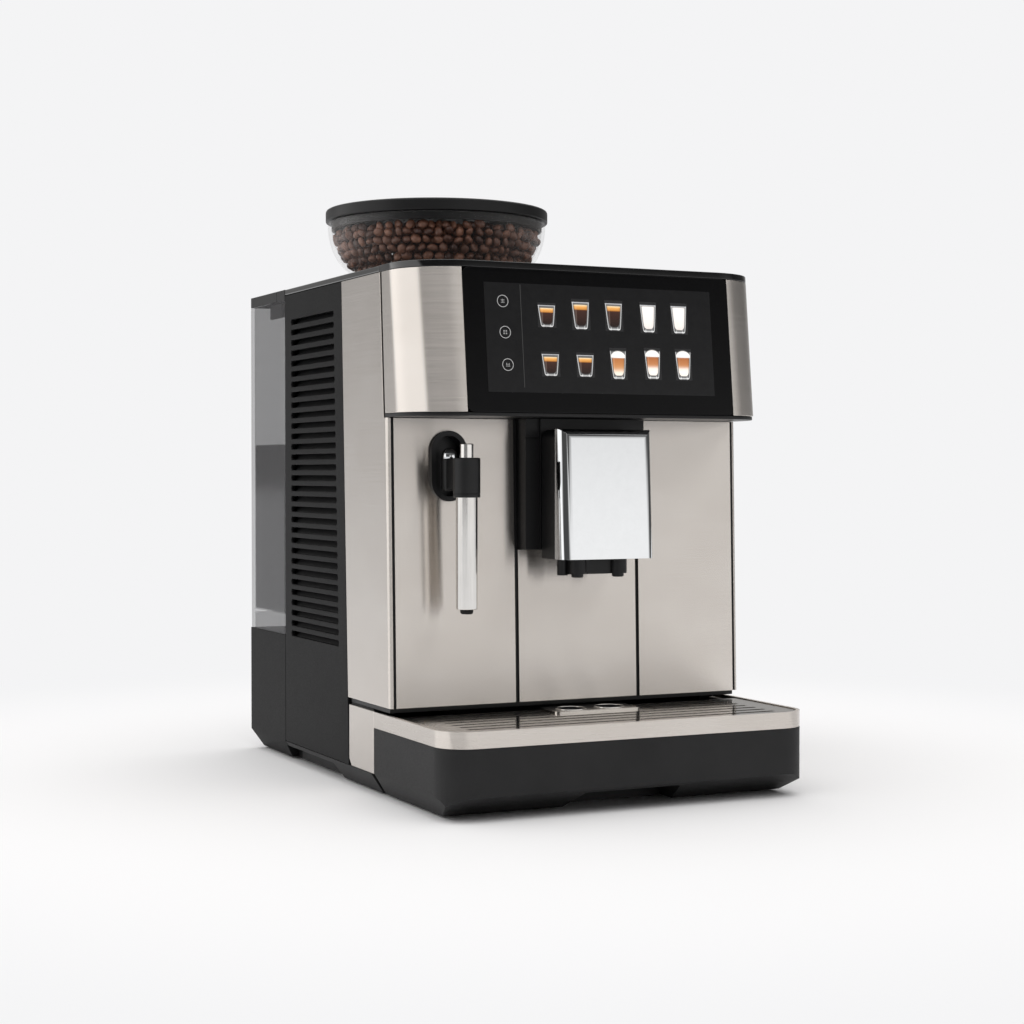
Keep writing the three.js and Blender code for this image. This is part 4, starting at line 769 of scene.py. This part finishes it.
def cupPicture(name, centre, size, drink, foam):
    # a double-walled glass from the side, with h from 0 at its foot to 1 at its rim and s from -1 to 1
    # across: half width w(h) = foot + (1 - foot) h^0.7, less 2.2 r (1 - sqrt(1 - (1 - h / r)^2)) under the
    # height r, which rounds the foot. The drink is the same shape inside its wall, with bands of ink.
    width, height = size
    foot, corner, wallWidth, floor = 0.68, 0.1, 0.13, 0.115
    h, s = np.meshgrid(np.linspace(-0.04, 1.12, 110), np.linspace(-1.1, 1.1, 84), indexing="ij")

    def half(level, radius):
        rounding = radius * (1 - np.sqrt(1 - np.clip(1 - level / radius, 0, 1) ** 2))
        return foot + (1 - foot) * np.clip(level, 0, 1) ** 0.7 - 2.2 * rounding

    outside = half(h, corner) - np.abs(s)
    inside = half(h - floor, 0.16) - wallWidth - np.abs(s)
    ink = np.broadcast_to(backInk, (*h.shape, 3)).copy()
    edge = np.exp(-((outside - 0.03) / 0.035) ** 2) * 0.62 + 0.1
    glint = 0.5 * np.exp(-((h - 0.035) / 0.022) ** 2)
    glint += 0.25 * np.exp(-((np.abs(s) - 0.4) / 0.06) ** 2) * (h < floor)
    inGlass = soft(outside, 0.0, 0.012) * soft(h, 0.0, 0.006) * (1 - soft(h, 1.0, 0.006))
    ink = mix(ink, np.repeat((edge + glint)[..., None], 3, 2), inGlass)
    fill = np.zeros((*h.shape, 3))
    level = floor
    for top, low, high, blur in drink:
        shade = np.clip((h - level) / max(top - level, 0.01), 0, 1)
        fill = mix(fill, mix(linear(low), linear(high), shade), soft(h, level, blur))
        level = top
    fill *= (1 - 0.35 * np.clip(np.abs(s) / 0.85, 0, 1) ** 5)[..., None]
    sheen = 0.07 * np.exp(-((s + 0.56) / 0.07) ** 2) * soft(h, 0.2, 0.03)
    fill += sheen[..., None] * np.array([1.0, 0.8, 0.7])
    inDrink = soft(inside, 0.0, 0.014) * soft(h, floor, 0.006) * (1 - soft(h, level, 0.008))
    ink = mix(ink, fill, inDrink)
    if foam:
        dome = level + foam * np.sqrt(np.clip(1 - (s / 0.97) ** 2, 0, 1))
        inFoam = soft(h, level, 0.008) * (1 - soft(h, dome, 0.008)) * (1 - soft(np.abs(s), 0.93, 0.015))
        ink = mix(ink, linear("#f4f0ec") * (1 - 0.22 * np.abs(s)[..., None] ** 3), inFoam)
    else:
        rim = np.exp(-((h - 0.985) / 0.014) ** 2) * soft(outside, 0.0, 0.02)
        ink = mix(ink, np.broadcast_to(linear("#d0d0d3"), ink.shape), rim * 0.85)
    u = centre[0] + s * width / 2
    z = centre[1] + (h - 0.5) * height
    flatPrint(name, u, z, np.clip(ink, 0, 1), screen["pictureProud"])


# each drink as bands from the foot of the glass up: height reached, colour at the band's foot and top, blur
drinks = {
    "espresso": [(0.67, "#1c100c", "#3a211a", 0.01), (0.83, "#b9772f", "#e2a860", 0.008),
                 (0.87, "#f0cf9c", "#f3dcb4", 0.01)],
    "black": [(0.72, "#1c100c", "#3a211a", 0.01), (0.86, "#b9772f", "#e2a860", 0.008),
              (0.9, "#f0cf9c", "#f3dcb4", 0.01)],
    "milk": [(0.95, "#e0d9d3", "#f2eeea", 0.01)],
    "cappuccino": [(0.3, "#f0e6da", "#f0e2d2", 0.01), (0.76, "#c48a55", "#a9683a", 0.045)],
    "latte": [(0.42, "#efe7df", "#f0e6dc", 0.01), (0.8, "#bd8052", "#a05f34", 0.03)],
}
small, tall, milky, frothy = (15.2, 17.4), (15.4, 22), (14.6, 22.6), (14.4, 22.8)
froth = 0.24                 # height of the froth's dome over the glass's height
cups = [
    ("espresso", (-49.6, 394.2), small, "espresso", 0.0),
    ("doubleEspresso", (-18.6, 395.6), tall, "black", 0.0),
    ("lungo", (12, 395.6), tall, "black", 0.0),
    ("milkGlass", (44.3, 395.2), milky, "milk", 0.0),
    ("warmMilk", (73.6, 395.2), milky, "milk", 0.0),
    ("ristretto", (-48.2, 354.6), small, "espresso", 0.0),
    ("smallBlack", (-16.6, 354.6), small, "espresso", 0.0),
    ("cappuccino", (14, 356), frothy, "cappuccino", froth),
    ("latte", (46.3, 356.8), frothy, "latte", froth),
    ("flatWhite", (75.6, 356.8), frothy, "latte", froth),
]


def displayPictures():
    for name, centre, size, drink, foam in cups:
        cupPicture(name + "Picture", centre, size, drinks[drink], foam)


def iconRings():
    # each sign is a thin ring, u = cx + r cos(a), z = cz + r sin(a), with a few short bars inside it
    glyphs = [
        [(-1.6, -1.4, 1.6, -1.0), (-1.6, -0.2, 1.6, 0.2), (-1.6, 1.0, 1.6, 1.4), (-0.2, -1.6, 0.2, 1.7)],
        [(-1.6, 0.4, -0.4, 1.6), (0.4, 0.4, 1.6, 1.6), (-1.6, -1.6, -0.4, -0.4), (0.4, -1.6, 1.6, -0.4)],
        [(-1.8, -1.5, 1.8, -1.1), (-1.5, -0.7, -0.9, 1.4), (-0.3, -0.7, 0.3, 0.8), (0.9, -0.7, 1.5, 1.1)],
    ]
    for number, ((cx, cz), bars) in enumerate(zip(screen["icons"], glyphs)):
        radii = screen["iconRadius"] + screen["iconLine"] * np.array([-1, 1])
        a, r = np.meshgrid(np.linspace(0, 2 * np.pi, 49), radii, indexing="ij")
        u, z = cx + r * np.cos(a), cz + r * np.sin(a)
        flatPrint(f"iconRing{number}", u, z, np.full((*u.shape, 3), 0.4), screen["signProud"])
        for k, (x0, z0, x1, z1) in enumerate(bars):
            u, z = np.meshgrid(cx + np.array([x0, x1]), cz + np.array([z0, z1]))
            flatPrint(f"iconBar{number}{k}", u, z, np.full((2, 2, 3), 0.24), screen["signProud"])


def displayLayer():
    # the display's dark grey window in the glass, and the thin line beside the column of signs
    left, right, low, high = screen["display"]
    front = screen["front"]
    boxes("displayWindow", [left, front - screen["windowProud"], low], [right, front + 0.6, high],
          displayLook, "casing", 0, (screen["slope"], screen["level"]))
    u, z = np.meshgrid(screen["divider"] + np.array([-0.3, 0.3]), np.array([low + 4, high - 1]))
    flatPrint("displayDivider", u, z, np.full((2, 2, 3), 0.035), screen["signProud"])


displayLayer()
displayPictures()
iconRings()
print("screen made")


studio = {
    "backdrop": "#f4f4f5",
    "camera": (-0.7535, -1.5861, 0.2680),
    "yaw": -25.51, "pitch": -1.16, "lens": 68.53,
    "fade": (0.3, 0.95),                          # metres from the object over which the floor fades
    "overhead": (0.35, 0.75, 0.08, 1.5),          # heights of the direction, and the light below and above
    "rear": (0.3, 0.9, 0.0, 0.3),
    "frontCard": {"toward": (0.43, -0.9, 0), "edge": (0.62, 0.93), "top": (0.03, 0.34), "strength": 1.1},
    "leftCard": {"toward": (-0.94, 0.342, 0), "edge": (0.74, 0.83), "top": (0.35, 0.5), "strength": 1.3},
}


def studioFloor():
    # a round pale floor: a diffuse disc near the object that fades into an even glow of the backdrop's colour
    made = bpy.data.materials.new("matt painted studio floor")
    made.use_nodes = True
    tree = made.node_tree
    tree.nodes.clear()
    place = addNode(tree, "ShaderNodeTexCoord").outputs["Object"]
    distance = addNode(tree, "ShaderNodeVectorMath", {0: place}, operation="LENGTH").outputs["Value"]
    fade = addNode(tree, "ShaderNodeMapRange", {
        "Value": distance, "From Min": studio["fade"][0], "From Max": studio["fade"][1]},
        interpolation_type="SMOOTHSTEP").outputs[0]
    paint = addNode(tree, "ShaderNodeBsdfDiffuse", {"Color": colour(studio["backdrop"])})
    glow = addNode(tree, "ShaderNodeEmission", {"Color": colour(studio["backdrop"]), "Strength": 1.0})
    mixed = addNode(tree, "ShaderNodeMixShader", {0: fade, 1: paint.outputs[0], 2: glow.outputs[0]})
    addNode(tree, "ShaderNodeOutputMaterial", {"Surface": mixed.outputs[0]})
    a = np.linspace(0, 2 * np.pi, 64, endpoint=False)
    r = np.array([1.0, 400, 800, 1500, 4000, 30000])[:, None]
    points = np.stack([r * np.cos(a), r * np.sin(a), 0 * r * a], -1)
    floor = meshPiece("studioFloor", points, gridFaces(len(r), len(a), False, True), made, None,
                      closed=False)


def studioWorld():
    # light by direction, as a sum of smooth steps: total = overhead + each card's strength where the
    # direction is near the card and not high up + rear. The camera itself sees only the plain backdrop.
    world = bpy.data.worlds.new("softStudio")
    bpy.context.scene.world = world
    world.use_nodes = True
    tree = world.node_tree
    tree.nodes.clear()
    way = addNode(tree, "ShaderNodeTexCoord").outputs["Generated"]
    rise = addNode(tree, "ShaderNodeSeparateXYZ", {0: way}).outputs["Z"]

    def toward(direction):
        dot = addNode(tree, "ShaderNodeVectorMath", {0: way, 1: direction}, operation="DOT_PRODUCT")
        return dot.outputs["Value"]

    def step(value, low, high, start, end):
        return addNode(tree, "ShaderNodeMapRange", {
            "Value": value, "From Min": low, "From Max": high, "To Min": start, "To Max": end},
            interpolation_type="SMOOTHSTEP").outputs[0]

    def combine(a, b, operation):
        return addNode(tree, "ShaderNodeMath", {0: a, 1: b}, operation=operation).outputs[0]

    total = step(rise, *studio["overhead"])
    for name in ("frontCard", "leftCard"):
        card = studio[name]
        lit = combine(step(toward(card["toward"]), *card["edge"], 0.0, card["strength"]),
                      step(rise, *card["top"], 1.0, 0.0), "MULTIPLY")
        total = combine(total, lit, "ADD")
    total = combine(total, step(toward((0, 1, 0)), *studio["rear"]), "ADD")
    light = addNode(tree, "ShaderNodeBackground", {"Color": (1, 0.99, 0.98, 1), "Strength": total})
    seen = addNode(tree, "ShaderNodeBackground", {"Color": colour(studio["backdrop"]), "Strength": 1.0})
    ray = addNode(tree, "ShaderNodeLightPath").outputs["Is Camera Ray"]
    mixed = addNode(tree, "ShaderNodeMixShader", {0: ray, 1: light.outputs[0], 2: seen.outputs[0]})
    addNode(tree, "ShaderNodeOutputWorld", {"Surface": mixed.outputs[0]})


studioFloor()
studioWorld()

lens = bpy.data.cameras.new("camera")
lens.lens, lens.sensor_width = studio["lens"], 36
lens.clip_start, lens.clip_end = 0.05, 100
viewer = bpy.data.objects.new("camera", lens)
viewer.location = studio["camera"]
viewer.rotation_euler = (math.radians(90 + studio["pitch"]), 0, math.radians(studio["yaw"]))
bpy.context.scene.collection.objects.link(viewer)
bpy.context.scene.camera = viewer
bpy.context.scene.view_settings.view_transform = "Standard"
print("studio made")
